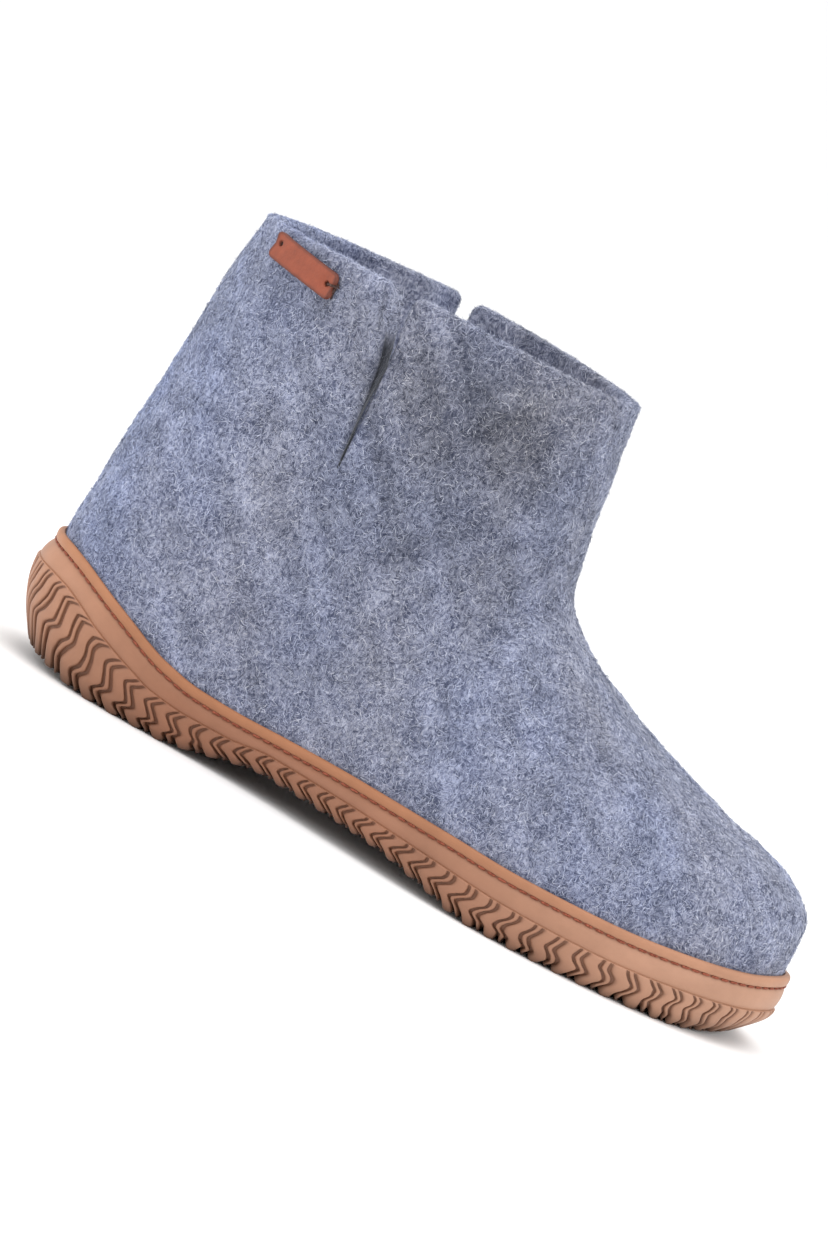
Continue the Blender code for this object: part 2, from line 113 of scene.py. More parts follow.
# Underside: x, ground line, floor of the cup, how far the bottom edge is tucked in
UNDERSIDE = [
    (0.0, 9.0, 17.0, 9.5), (8.0, 6.0, 16.6, 8.5), (18.0, 3.4, 16.1, 7.0), (30.0, 1.6, 15.6, 5.0),
    (41.0, 0.0, 15.4, 4.0), (68.0, 0.0, 14.8, 3.0), (82.0, 2.0, 14.5, 2.4), (94.0, 5.0, 14.1, 2.4),
    (106.0, 7.0, 13.6, 2.2), (122.0, 7.0, 12.9, 2.2), (150.0, 6.2, 11.6, 2.2), (168.0, 3.8, 10.8, 2.4),
    (190.0, 0.0, 10.2, 2.6), (256.0, 0.0, 10.2, 4.0), (266.0, 1.4, 10.6, 6.0), (LENGTH, 7.0, 11.6, 9.0),
]
# Back of the boot: z, x
BACK_LINE = [
    (12.0, 5.6), (30.0, 4.2), (42.0, 4.2), (60.0, 5.9), (80.0, 8.0), (100.0, 10.5), (120.0, 12.0),
    (140.0, 13.6), (161.5, 16.8), (170.0, 18.2),
]
# Front of the boot, from the toe up: x, z
FRONT_LINE = [
    (276.0, 20.0), (276.0, 36.0), (275.0, 43.0), (270.5, 49.4), (261.5, 54.8), (248.0, 59.3),
    (230.0, 63.8), (210.0, 70.3), (190.0, 78.2), (175.0, 86.0), (165.6, 93.0), (160.2, 103.0),
    (157.2, 120.0), (154.4, 140.0), (151.2, 164.0),
]
# Shaft: z, largest half width, length of its round back, length of its round front
SHAFT = [
    (20.0, 34.0, 42.0, 120.0), (60.0, 36.0, 46.0, 112.0), (90.0, 38.5, 56.0, 92.0),
    (120.0, 40.5, 66.0, 76.0), (164.0, 42.0, 68.0, 67.0), (180.0, 42.0, 68.0, 67.0),
]
# Rings of the felt: number, height at the back, height at the front, how much they follow the lip
RINGS = [
    (0, 50.0, 42.5, 0.85), (1, 57.0, 49.4, 0.68), (2, 65.0, 55.6, 0.52), (3, 74.0, 60.8, 0.38),
    (4, 83.0, 68.0, 0.25), (5, 92.0, 78.0, 0.14), (6, 100.0, 89.5, 0.05), (7, 108.0, 101.0, 0.0),
    (8, 117.0, 117.0, 0.0), (9, 128.0, 132.0, 0.0), (10, 139.0, 143.5, 0.0), (11, 150.5, 154.0, 0.0),
    (12, 161.2, 162.4, 0.0),
]
SLIT_RING = 7
# Slits in the collar: z, rear edge x on the outer side, front edge x, rear edge x on the inner side
SLIT = [
    (104.0, 82.9, 83.5, 82.9), (125.0, 81.9, 83.5, 80.6), (138.0, 80.8, 83.2, 77.4),
    (150.0, 77.8, 82.5, 74.2), (158.0, 75.0, 81.9, 73.4), (163.0, 73.2, 81.7, 73.2),
    (170.0, 71.6, 81.6, 73.0),
]
SLIT_FLARE = 4.0
SLIT_CORNER = 2.6
COLLAR_CROWN = 1.8

# %% [markdown]
# A few small helpers read the tables: a smooth look-up, blends, a curve through points, and a loop
# moved inwards. The edge of the footprint is the first thing that they make.

# %% helpers that read the tables
def look_up(table, key, value):
    """Column `value` of a table at `key`: a cubic through its rows, level where they turn."""
    rows = np.array(table, float)
    x, y = rows[:, 0], rows[:, value]
    step = np.diff(x)
    slope = np.diff(y) / step
    turn = slope[:-1] * slope[1:] <= 0.0
    safe = np.where(turn, 1.0, slope[:-1] + slope[1:])
    inner = np.where(turn, 0.0, 2.0 * slope[:-1] * slope[1:] / safe)
    tangent = np.concatenate([slope[:1], inner, slope[-1:]])
    key = np.clip(key, x[0], x[-1])
    span = np.clip(np.searchsorted(x, key, side="right") - 1, 0, len(x) - 2)
    t = (key - x[span]) / step[span]
    return (y[span] * (1.0 + 2.0 * t) * (1.0 - t) ** 2 + y[span + 1] * t * t * (3.0 - 2.0 * t)
            + step[span] * t * (1.0 - t) * (tangent[span] * (1.0 - t) - tangent[span + 1] * t))


def smoothstep(t):
    """0 below 0, 1 above 1, and 3t^2 - 2t^3 between."""
    t = np.clip(t, 0.0, 1.0)
    return t * t * (3.0 - 2.0 * t)


def mix(a, b, t):
    """a at t = 0, b at t = 1."""
    return a + (b - a) * t


def spline(points, count, closed=False):
    """Catmull-Rom curve through the points, `count` samples for each span."""
    p = np.array(points, float)
    ends = (p[-1:], p[:2]) if closed else (2 * p[:1] - p[1:2], 2 * p[-1:] - p[-2:-1])
    p = np.vstack([ends[0], p, ends[1]])
    t = np.linspace(0.0, 1.0, count, endpoint=False)[:, None, None]
    a, b, c, d = (p[i:len(p) - 3 + i][None] for i in range(4))
    curve = 0.5 * (2 * b + (c - a) * t + (2 * a - 5 * b + 4 * c - d) * t ** 2
                   + (3 * b - a - 3 * c + d) * t ** 3)
    curve = curve.transpose(1, 0, 2).reshape(-1, 2)
    return curve if closed else np.vstack([curve, p[-2:-1]])


def read_along(curve, at):
    """Points of an open curve at shares `at` of its length."""
    run = np.concatenate([[0.0], np.cumsum(np.hypot(*np.diff(curve, axis=0).T))])
    return np.stack([np.interp(at * run[-1], run, curve[:, i]) for i in (0, 1)], axis=-1)


def inset(loop, distance):
    """A closed loop moved inwards along its own normals."""
    ahead = np.roll(loop, -1, axis=0) - np.roll(loop, 1, axis=0)
    ahead /= np.hypot(*ahead.T)[:, None]
    inward = np.stack([-ahead[:, 1], ahead[:, 0]], axis=1)
    return loop + inward * np.broadcast_to(distance, len(loop))[:, None]


WHOLE_EDGE = spline(OUTER_EDGE + [TOE_TIP] + INNER_EDGE, 24, closed=True)
TIP_INDEX = 24 * len(OUTER_EDGE)
OUTER_CURVE = WHOLE_EDGE[:TIP_INDEX + 1]
INNER_CURVE = np.vstack([WHOLE_EDGE[TIP_INDEX:], WHOLE_EDGE[:1]])[::-1]
ORIGIN_Y = 0.5 * (WHOLE_EDGE[:, 1].min() + WHOLE_EDGE[:, 1].max())
HALF_GIRTH = [np.hypot(*np.diff(curve, axis=0).T).sum() for curve in (OUTER_CURVE, INNER_CURVE)]
print("edge of the sole: outer side %.0f mm, inner side %.0f mm" % tuple(HALF_GIRTH))

# %% [markdown]
# The felt is one surface with a formula. In front it is the footprint under a dome that closes on
# the line of the instep. Behind it is an oval between the back line and the front line. The two
# are blended over the ankle, and the panel behind each slit stands out a little, as cut felt does.


# %% shape of the felt
def toe_share(x):
    """0 along the boot, 1 at the tip of the toe."""
    return smoothstep((x - 235.0) / 40.0)


def cup_inset(x):
    """Distance from the footprint in to the inside of the cup's wall."""
    return CUP_WALL + mix(2.2, 1.2, smoothstep(x / 50.0))


FELT_EDGE = inset(WHOLE_EDGE, cup_inset(WHOLE_EDGE[:, 0]) + FIT_GAP)
FRONT_CURVE = spline(FRONT_LINE, 24)


def ridge(x):
    """y of the line down the middle of the boot to the toe tip."""
    return TOE_TIP[1] * smoothstep((x - 100.0) / 170.0)


def plan_width(side, x):
    """Half width of the felt at the lip of the sole, from the ridge line."""
    half = FELT_EDGE[:TIP_INDEX + 1] if side == LATERAL else FELT_EDGE[TIP_INDEX:][::-1]
    return np.maximum(side * (np.interp(x, half[:, 0], half[:, 1]) - ridge(x)), 0.0)


def round_end(t):
    """Quarter circle: 0 at t = 0, 1 from t = 1."""
    t = np.clip(t, 0.0, 1.0)
    return np.sqrt(t * (2.0 - t))


def upper_width(side, x, z):
    """Half width of the felt: plan width times a dome, blended with the oval of heel and shaft."""
    lip = look_up(SIDE_BANDS, x, 1)
    top = np.interp(x, FRONT_CURVE[::-1, 0], FRONT_CURVE[::-1, 1]) + 3.0 * np.maximum(151.6 - x, 0.0)
    rise = np.clip((z - lip - 4.0) / (top - lip - 4.0), 0.0, 1.0)
    foot = plan_width(side, x) * np.sqrt(1.0 - rise ** 2.1)
    back = look_up(BACK_LINE, z, 1)
    front = np.interp(z, FRONT_CURVE[:, 1], FRONT_CURVE[:, 0])
    oval = (look_up(SHAFT, z, 1) * round_end((x - back) / look_up(SHAFT, z, 2))
            * round_end((front - x) / look_up(SHAFT, z, 3)))
    heel = plan_width(side, x - (back - 4.2))
    rear = mix(heel, oval, smoothstep((z - lip) / 55.0))
    high = np.minimum((z - 20.0) / 80.0, 1.1)
    start, end = mix(100.0, 160.0, high), mix(150.0, 178.0, high)
    width = mix(rear, foot, smoothstep((x - start) / (end - start)))
    behind_slit = look_up(SLIT, z, 1 if side == LATERAL else 3) + 0.01 - x
    flare = SLIT_FLARE * smoothstep((z - 104.0) / 56.0) * np.clip(1.0 - behind_slit / 34.0, 0.0, 1.0) ** 2
    return width + np.where(behind_slit >= 0.0, flare, 0.0)


print("half widths of the felt at x 100, z 60:",
      [round(float(upper_width(side, 100.0, 60.0)), 1) for side in (LATERAL, MEDIAL)])

# %% [markdown]
# The surface is sampled as rows from the floor of the cup to the collar and columns from the heel
# round the outer side to the toe and back. All rows are worked out at once as one array. A pair
# of neighbouring columns is pulled to the two edges of each slit.

# %% rows and columns of the felt
FINE = 4
PER_SIDE = 41 * FINE
SLIT_COLUMN = 14 * FINE
ROWS_PER_RING = 8


def crowd(away, share):
    """Distances from a slit with the columns next to it drawn closer, so that its corners can be round."""
    closer = away ** 2 / np.maximum(away + 2.5 * (1.0 - away / away.max(axis=1, keepdims=True)), 1e-9)
    return mix(away, closer, share)


def felt_rows():
    """Points (row, column, xyz) of the felt's outside in millimetres, and each row's ring number."""
    place = np.linspace(0.0, 1.0, PER_SIDE + 1)
    outer_foot = read_along(OUTER_CURVE, place)
    inner_foot = read_along(INNER_CURVE, place)
    foot = np.vstack([outer_foot[:-1], inner_foot[:0:-1]])
    felt = inset(foot, cup_inset(foot[:, 0]) + FIT_GAP)
    tucked = inset(felt, CORNER_IN)
    floor = look_up(UNDERSIDE, felt[:, 0], 2) + FIT_GAP
    lip = look_up(SIDE_BANDS, felt[:, 0], 1)
    buried = np.stack([np.column_stack([tucked, floor]), np.column_stack([felt, floor + CORNER_UP]),
                       np.column_stack([felt, np.maximum(lip - 2.0, floor + 4.0)])])
    low = buried[2, :PER_SIDE + 1]
    share_low = (low[:, 0] - low[0, 0]) / (low[-1, 0] - low[0, 0])
    dip = low[:, 2] - mix(low[0, 2], low[-1, 2], share_low)

    number = np.linspace(0.0, RINGS[-1][0], RINGS[-1][0] * ROWS_PER_RING + 1)
    back_z, front_z, follow = (look_up(RINGS, number, i)[:, None] for i in (1, 2, 3))
    back_x = look_up(BACK_LINE, back_z, 1)
    front_x = np.interp(front_z, FRONT_CURVE[:, 1], FRONT_CURVE[:, 0])
    level = (number / number[-1])[:, None]
    share = mix(share_low, 0.5 - 0.5 * np.cos(np.pi * place), level ** 0.8)
    x = mix(back_x, front_x, share)
    z = mix(back_z, front_z, share)
    slit_z = z[:, SLIT_COLUMN:SLIT_COLUMN + 1]
    rear_x, fore_x = look_up(SLIT, slit_z, 1), look_up(SLIT, slit_z, 2)
    pull = smoothstep((number[:, None] + 1.0) / (SLIT_RING + 1.0))
    behind, ahead = x[:, :SLIT_COLUMN + 1], x[:, SLIT_COLUMN + 1:]
    rear_pull = mix(1.0, (rear_x - back_x) / (behind[:, -1:] - back_x), pull)
    fore_pull = mix(1.0, (front_x - fore_x) / (front_x - ahead[:, :1]), pull)
    behind = back_x + (behind - back_x) * rear_pull
    ahead = front_x - (front_x - ahead) * fore_pull
    behind = behind[:, -1:] - crowd(behind[:, -1:] - behind, pull)
    ahead = ahead[:, :1] + crowd(ahead - ahead[:, :1], pull)
    x = np.hstack([behind, ahead])
    z = mix(back_z, front_z, (x - back_x) / (front_x - back_x)) + follow * np.interp(x, low[:, 0], dip)
    crown = COLLAR_CROWN * np.sin(np.pi * np.clip((x - 17.0) / 135.0, 0.0, 1.0)) ** 1.1
    z = z + crown * smoothstep((number[:, None] - 10.5) / 1.5)
    from_corner = SLIT_CORNER - np.where(x < 0.5 * (rear_x + fore_x), rear_x - x, x - fore_x)
    drop = SLIT_CORNER - np.sqrt(SLIT_CORNER ** 2 - np.clip(from_corner, 0.0, 0.98 * SLIT_CORNER) ** 2)
    z = z - drop * smoothstep((number[:, None] - 10.4) / 1.6)
    slit_z = z[:, SLIT_COLUMN:SLIT_COLUMN + 1]
    rear_x = mix(behind[:, -1:], look_up(SLIT, slit_z, 1), number[:, None] >= SLIT_RING)
    x[:, :SLIT_COLUMN + 1] = back_x + (behind - back_x) * (rear_x - back_x) / (behind[:, -1:] - back_x)

    def both_sides(x, z):
        """Outer side to the toe, then the inner side back to the heel."""
        middle = ridge(x) * (z < 110.0)
        outer = np.stack([x, middle - upper_width(LATERAL, x, z), z], axis=-1)
        rear = look_up(SLIT, z, 1)
        near_slit = np.clip(1.0 - (rear - x) / 30.0, 0.0, 1.0) * (x < rear + 0.01)
        x = x + (look_up(SLIT, z, 3) - rear) * near_slit
        inner = np.stack([x, middle + upper_width(MEDIAL, x, z), z], axis=-1)
        outer[:, [0, -1], 1] = middle[:, [0, -1]]
        return np.concatenate([outer, inner[:, -2:0:-1]], axis=1)

    wall = both_sides(x, z)
    t = np.linspace(0.0, 1.0, 8)[1:-1, None]
    join = both_sides(mix(low[:, 0], x[:1], t), mix(low[:, 2], z[:1], t))
    join[..., 1] = mix(buried[2, :, 1], join[..., 1], smoothstep(t / 0.5))
    rows = np.concatenate([buried, join, wall])
    return rows, np.concatenate([np.full(len(rows) - len(number), -1.0), number])


def grid_normals(points):
    """Unit normals of a grid closed round its columns: the cross product of its two directions."""
    before, after = np.roll(points, 1, axis=1), np.roll(points, -1, axis=1)
    cut = felt_ring >= SLIT_RING
    for column in (SLIT_COLUMN, points.shape[1] - SLIT_COLUMN - 1):
        after[cut, column] = points[cut, column]
        before[cut, column + 1] = points[cut, column + 1]
    along = after - before
    upward = np.gradient(points, axis=0)
    normal = np.cross(along, upward)
    return normal / np.maximum(np.linalg.norm(normal, axis=-1, keepdims=True), 1e-9)


felt_points, felt_ring = felt_rows()
print("felt rows and columns:", felt_points.shape[:2])

# %% [markdown]
# Hand felting leaves no flat spot: the wall swells and sinks by a few tenths of a millimetre, and a
# few soft folds form where the boot has bent. The folds are a short table, each one a straight
# line on a side with a rounded cross section, a ridge or a trough.

# %% folds and swells of the felt
# Folds: side, start x, start z, end x, end z, half width, height of the ridge or depth of the trough
FOLDS = [
    (LATERAL, 104.0, 141.0, 150.0, 146.0, 3.0, -0.45), (LATERAL, 104.0, 147.0, 150.0, 152.0, 3.5, 0.35),
    (LATERAL, 112.0, 92.0, 164.0, 98.0, 6.0, -0.7), (LATERAL, 120.0, 104.0, 158.0, 112.0, 6.0, 0.4),
    (LATERAL, 60.0, 104.0, 84.0, 96.0, 7.0, -0.5), (LATERAL, 30.0, 60.0, 75.0, 48.0, 9.0, -0.5),
    (LATERAL, 150.0, 78.0, 205.0, 56.0, 9.0, -0.5), (LATERAL, 200.0, 44.0, 250.0, 40.0, 8.0, -0.3),
    (MEDIAL, 104.0, 140.0, 150.0, 147.0, 3.5, -0.45), (MEDIAL, 112.0, 94.0, 163.0, 98.0, 6.0, -0.7),
    (MEDIAL, 150.0, 76.0, 205.0, 58.0, 9.0, -0.5), (MEDIAL, 30.0, 62.0, 75.0, 50.0, 9.0, -0.5),
]


def fold_height(points):
    """Sum over the folds of height times exp(-(distance / half width)^2), on the fold's side."""
    height = np.zeros(points.shape[:-1])
    for side, x0, z0, x1, z1, half, tall in FOLDS:
        run = np.array([x1 - x0, z1 - z0])
        flat = points[..., [0, 2]] - [x0, z0]
        t = np.clip(flat @ run / (run @ run), 0.0, 1.0)
        away = np.linalg.norm(flat - t[..., None] * run, axis=-1)
        on_side = smoothstep(0.5 + side * (points[..., 1] - ridge(points[..., 0])) / 24.0)
        height += tall * on_side * np.exp(-(away / half) ** 2)
    return height


def swell(points, seed, wave_lengths, height):
    """Soft noise: a sum of sine waves in random directions, one for each wave length in mm."""
    random = np.random.default_rng(seed)
    total = np.zeros(points.shape[:-1])
    for wave in wave_lengths:
        direction = random.normal(size=3)
        direction *= 2.0 * np.pi / wave / np.linalg.norm(direction)
        total += np.sin(points @ direction + random.uniform(0.0, 2.0 * np.pi))
    return height * total / np.sqrt(len(wave_lengths))


shown = smoothstep((felt_ring + 0.6) / 1.2)[:, None]
bulge = fold_height(felt_points)
bulge += swell(felt_points, 11, [52.0, 41.0, 33.0, 29.0, 24.0, 21.0, 18.0, 15.0], 0.28)
bulge += swell(felt_points, 12, [11.0, 9.5, 8.0, 7.0, 6.2], 0.10)
felt_outside = felt_points + grid_normals(felt_points) * (bulge * shown)[..., None]
felt_normals = grid_normals(felt_outside)
felt_inside = felt_outside - felt_normals * FELT_WALL
print("swell of the felt, lowest and highest in mm:", round(bulge.min(), 2), round(bulge.max(), 2))

# %% [markdown]
# Every piece is made the same way: an array of points in millimetres and a list of faces become a
# mesh whose object sits at the origin. A grid gets its quads from its number of rows and columns
# alone, so a piece needs no loop over its points.


# %% helpers that turn arrays into mesh objects
def mesh_object(name, points, faces, finish=None, smooth_angle=40.0):
    """A mesh object from points in millimetres of the last, moved to the boot's own origin."""
    moved = (np.asarray(points).reshape(-1, 3) - [ORIGIN_X, ORIGIN_Y, 0.0]) * MM
    mesh = bpy.data.meshes.new(name)
    mesh.from_pydata(moved.tolist(), [], [f.tolist() for f in faces])
    mesh.update()
    mesh.shade_smooth()
    if smooth_angle:
        mesh.set_sharp_from_angle(angle=np.radians(smooth_angle))
    if finish:
        mesh.materials.append(finish)
    piece = bpy.data.objects.new(name, mesh)
    bpy.context.scene.collection.objects.link(piece)
    triangles = sum(len(f) - 2 for f in faces) if len(faces) < 5000 else len(faces) * (faces[0].size - 2)
    print(name, "about", triangles, "triangles")
    return piece


def ring_quads(rows, columns):
    """Quads of a grid closed round its columns, as (row, column, corner)."""
    row, column = np.meshgrid(np.arange(rows - 1), np.arange(columns), indexing="ij")
    a = row * columns + column
    b = row * columns + (column + 1) % columns
    return np.stack([a, b, b + columns, a + columns], axis=-1)

# %% [markdown]
# A sheet becomes a wall when its free edge is turned over. The free edge is one loop: along the
# collar, down and up each slit, and on. Between the outside and the inside of that loop go a few
# rows on a flat half circle, which is how a cut edge of thick felt looks.

# %% the cut edge of the felt
def felt_edge_loop(rows, columns, slit_row):
    """Grid indices along the free edge: collar, slit, collar, slit, collar."""
    top = rows - 1
    down = np.arange(top - 1, slit_row - 1, -1)
    first, last = SLIT_COLUMN, columns - SLIT_COLUMN
    at = [(top, c) for c in range(0, first + 1)]
    at += [(r, first) for r in down] + [(r, first + 1) for r in down[::-1]]
    at += [(top, c) for c in range(first + 1, last)]
    at += [(r, last - 1) for r in down] + [(r, last) for r in down[::-1]]
    at += [(top, c) for c in range(last, columns)]
    return np.array(at)


rows, columns = felt_outside.shape[:2]
slit_row = int(np.argmax(felt_ring >= SLIT_RING))
edge_at = felt_edge_loop(rows, columns, slit_row)
edge_out = felt_outside[edge_at[:, 0], edge_at[:, 1]]
edge_in = felt_inside[edge_at[:, 0], edge_at[:, 1]]
edge_ahead = np.roll(edge_out, -1, axis=0) - np.roll(edge_out, 1, axis=0)
edge_away = np.cross(felt_normals[edge_at[:, 0], edge_at[:, 1]], edge_ahead)
edge_away /= np.maximum(np.linalg.norm(edge_away, axis=1, keepdims=True), 1e-9)
# Rows across the cut edge, how far it bulges, and how far its inner rim leans over the near slit
EDGE_ROWS, EDGE_BULGE, RIM_LEAN = 5, 0.75, 1.8
above_slit = smoothstep((edge_out[:, 2] - 110.0) / 30.0)
from_slit = look_up(SLIT, edge_out[:, 2], 1) - edge_out[:, 0]
near_rear = np.clip(1.0 - from_slit / 4.0, 0.0, 1.0) * (from_slit > -0.4) * (edge_out[:, 1] < 0.0)
edge_in[:, 0] += RIM_LEAN * near_rear * smoothstep((edge_out[:, 2] - 128.0) / 25.0)
felt_inside[edge_at[:, 0], edge_at[:, 1]] = edge_in
turn = np.pi * np.arange(1, EDGE_ROWS + 1)[:, None, None] / (EDGE_ROWS + 1)
edge_points = (edge_out + (edge_in - edge_out) * (1.0 - np.cos(turn)) / 2.0
               + edge_away * (EDGE_BULGE * above_slit[:, None]) * np.sin(turn) ** 0.7)
print("free edge of the felt:", len(edge_at), "points, edge faces up:", round(edge_away[:20, 2].mean(), 2))

# %% [markdown]
# The wall is joined from four sets of faces: the outside, the inside turned over, the rows of the
# cut edge, and a ring that closes the foot down in the cup. No face spans a slit, so the slits stay
# open, and the upper is still one closed solid.

# %% the felt upper as one closed wall
quads = ring_quads(rows, columns)
keep = np.ones(quads.shape[:2], bool)
keep[slit_row:, SLIT_COLUMN] = False
keep[slit_row:, columns - SLIT_COLUMN - 1] = False
outside_quads = quads[keep]
inside_quads = outside_quads[:, ::-1] + rows * columns
loop = len(edge_at)
edge_flat = edge_at[:, 0] * columns + edge_at[:, 1]
cut_index = 2 * rows * columns + np.arange(EDGE_ROWS * loop).reshape(EDGE_ROWS, loop)
strips = np.vstack([edge_flat[None], cut_index, edge_flat[None] + rows * columns])
ahead = np.roll(strips, -1, axis=1)
edge_quads = np.stack([strips[:-1], ahead[:-1], ahead[1:], strips[1:]], axis=-1).reshape(-1, 4)
foot_out = np.arange(columns)
foot_quads = np.stack([np.roll(foot_out, -1), foot_out, foot_out + rows * columns,
                       np.roll(foot_out, -1) + rows * columns], axis=-1)
upper_faces = np.vstack([outside_quads, inside_quads, edge_quads, foot_quads])
upper_points = np.vstack([grid.reshape(-1, 3) for grid in (felt_outside, felt_inside, edge_points)])
felt_upper = mesh_object("felt_upper", upper_points, upper_faces, smooth_angle=60.0)
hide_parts("upper")
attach(felt_upper, "root")

# %% [markdown]
# Materials are built from a few nodes. One helper adds a node and fills its sockets, so that a
# finish reads like a recipe. All patterns use object coordinates, in metres, because every piece
# of the boot sits at the origin.


# %% helpers for materials
def add_node(tree, kind, inputs=None, **settings):
    """A node with its properties set and its inputs linked or filled."""
    made = tree.nodes.new(kind)
    for key, value in settings.items():
        setattr(made, key, value)
    for key, value in (inputs or {}).items():
        if isinstance(value, bpy.types.NodeSocket):
            tree.links.new(value, made.inputs[key])
        else:
            made.inputs[key].default_value = value
    return made


def noise(tree, where, scale, detail=2.0, roughness=0.5, turned=None, stretch=None):
    """Noise of `scale` cells a metre, on coordinates that may be turned and stretched first."""
    if turned is not None:
        turning = {"Vector": where, "Rotation": turned, "Scale": stretch}
        where = add_node(tree, "ShaderNodeMapping", turning).outputs[0]
    inputs = {"Vector": where, "Scale": scale, "Detail": detail, "Roughness": roughness}
    return add_node(tree, "ShaderNodeTexNoise", inputs).outputs["Fac"]


def ramp(tree, value, stops):
    """Colour of a value between stops of (place, colour)."""
    made = add_node(tree, "ShaderNodeValToRGB", {"Fac": value})
    points = made.color_ramp.elements
    while len(points) < len(stops):
        points.new(0.5)
    for point, (place, colour) in zip(points, stops):
        point.position = place
        point.color = (*colour, 1.0)
    return made.outputs["Color"]


def math(tree, operation, a, b):
    """One sum of two values or sockets."""
    return add_node(tree, "ShaderNodeMath", {0: a, 1: b}, operation=operation).outputs[0]


def vector_math(tree, operation, inputs):
    """One sum of vectors."""
    return add_node(tree, "ShaderNodeVectorMath", inputs, operation=operation).outputs[0]


def multiply(tree, a, b):
    """Two colours multiplied."""
    inputs = {0: 1.0, 6: a, 7: b}
    return add_node(tree, "ShaderNodeMix", inputs, data_type="RGBA", blend_type="MULTIPLY").outputs[2]


def painted_tint(tree):
    """The colour that `paint` stored at each point under the name tint."""
    return add_node(tree, "ShaderNodeAttribute", attribute_name="tint").outputs["Color"]


def new_finish(name, roughness, specular=0.5):
    """A material with its Principled shader and object coordinates."""
    made = bpy.data.materials.new(name)
    made.use_nodes = True
    shader = made.node_tree.nodes["Principled BSDF"]
    shader.inputs["Roughness"].default_value = roughness
    shader.inputs["Specular IOR Level"].default_value = specular
    where = made.node_tree.nodes.new("ShaderNodeTexCoord").outputs["Object"]
    return made, made.node_tree, shader, where


def paint(mesh, name, colours):
    """Stores one colour for each point."""
    layer = mesh.attributes.new(name, "FLOAT_COLOR", "POINT")
    rgba = np.column_stack([colours, np.ones(len(colours))]).astype(np.float32)
    layer.data.foreach_set("color", rgba.ravel())


def nap(shader):
    """The soft pale glow of fine hairs at grazing angles."""
    shader.inputs["Sheen Weight"].default_value = 0.45
    shader.inputs["Sheen Roughness"].default_value = 0.5
    shader.inputs["Sheen Tint"].default_value = (0.80, 0.84, 0.95, 1.0)


def bump(tree, height, strength, distance):
    """A normal bent by a height."""
    inputs = {"Height": height, "Strength": strength, "Distance": distance}
    return add_node(tree, "ShaderNodeBump", inputs).outputs[0]


# %% [markdown]
# The wool is a blend: blue-grey fibres, pale fibres and a few dark ones, felted together. From near
# by it is a mottle of pale clouds of about a centimetre, dark specks of less than a millimetre, and
# short pale streaks. Clouds and specks are noise, streaks are noise stretched along three directions.

# %% the felt's colours
FELT_DARK = (0.072, 0.084, 0.140)
FELT_MID = (0.185, 0.200, 0.280)
FELT_PALE = (0.375, 0.395, 0.495)
# Painted shade and light: patches that darken the shaft's front and pale the heel and toe, and a
# painted shadow under the tag; x, z, radius, share added to the colour
SHADE_AND_LIGHT_PATCHES = [
    (118.0, 146.0, 34.0, -0.30), (108.0, 118.0, 30.0, -0.16), (140.0, 110.0, 26.0, -0.12),
    (92.0, 92.0, 26.0, -0.10), (40.0, 120.0, 40.0, 0.06), (20.0, 70.0, 30.0, 0.10),
    (60.0, 60.0, 22.0, 0.08), (235.0, 50.0, 30.0, 0.06), (195.0, 62.0, 18.0, -0.08),
    (170.0, 40.0, 20.0, 0.08), (30.0, 150.0, 16.0, -0.06), (54.0, 146.5, 5.0, -0.22),
    (42.0, 148.5, 5.0, -0.12),
]


def slit_line(points):
    """Shade on the near slit's rear lip: a hollow behind the rim near the collar, the cut below it."""
    z, back = points[..., 2], look_up(SLIT, points[..., 2], 1) - points[..., 0]
    hollow = (0.34 * np.exp(-((back - 2.0) / 0.8) ** 2) * smoothstep((z - 142.0) / 8.0)
              * smoothstep((164.0 - z) / 4.0))
    cut = (0.62 * np.exp(-(back / 1.3) ** 2) * smoothstep((z - 105.0) / 4.0)
           * smoothstep((154.0 - z) / 10.0))
    return np.where(points[..., 1] < 0.0, np.maximum(hollow, cut), 0.0)


def wool_tone_and_shade(points):
    """How pale the wool is at each point: 1, plus patches of painted shade and light, plus clouds of 1 to 3
    cm.
    """
    tone = 1.0 + swell(points, 21, [46.0, 34.0, 27.0, 22.0], 0.060)
    tone = tone + swell(points, 22, [15.0, 13.0, 11.0, 9.5, 8.0], 0.095)
    # Patches of painted shade and light
    for x, z, radius, share in SHADE_AND_LIGHT_PATCHES:
        tone += share * np.exp(-((points[..., 0] - x) ** 2 + (points[..., 2] - z) ** 2) / radius ** 2)
    return tone * (1.0 - slit_line(points))


def wool_tint_and_shade(points):
    """Tone with painted shade and light, as a colour: bluer towards the heel and in patches, greyer up the
    shaft's front.
    """
    blue = np.exp(-(points[..., 0] / 32.0) ** 2) + swell(points, 23, [60.0, 44.0, 30.0, 22.0], 0.35)
    blue -= 0.4 * np.exp(-((points[..., 0] - 120.0) ** 2 + (points[..., 2] - 150.0) ** 2) / 42.0 ** 2)
    hue = 1.0 + blue[..., None] * np.array([-0.07, -0.02, 0.07])
    return wool_tone_and_shade(points)[..., None] * hue
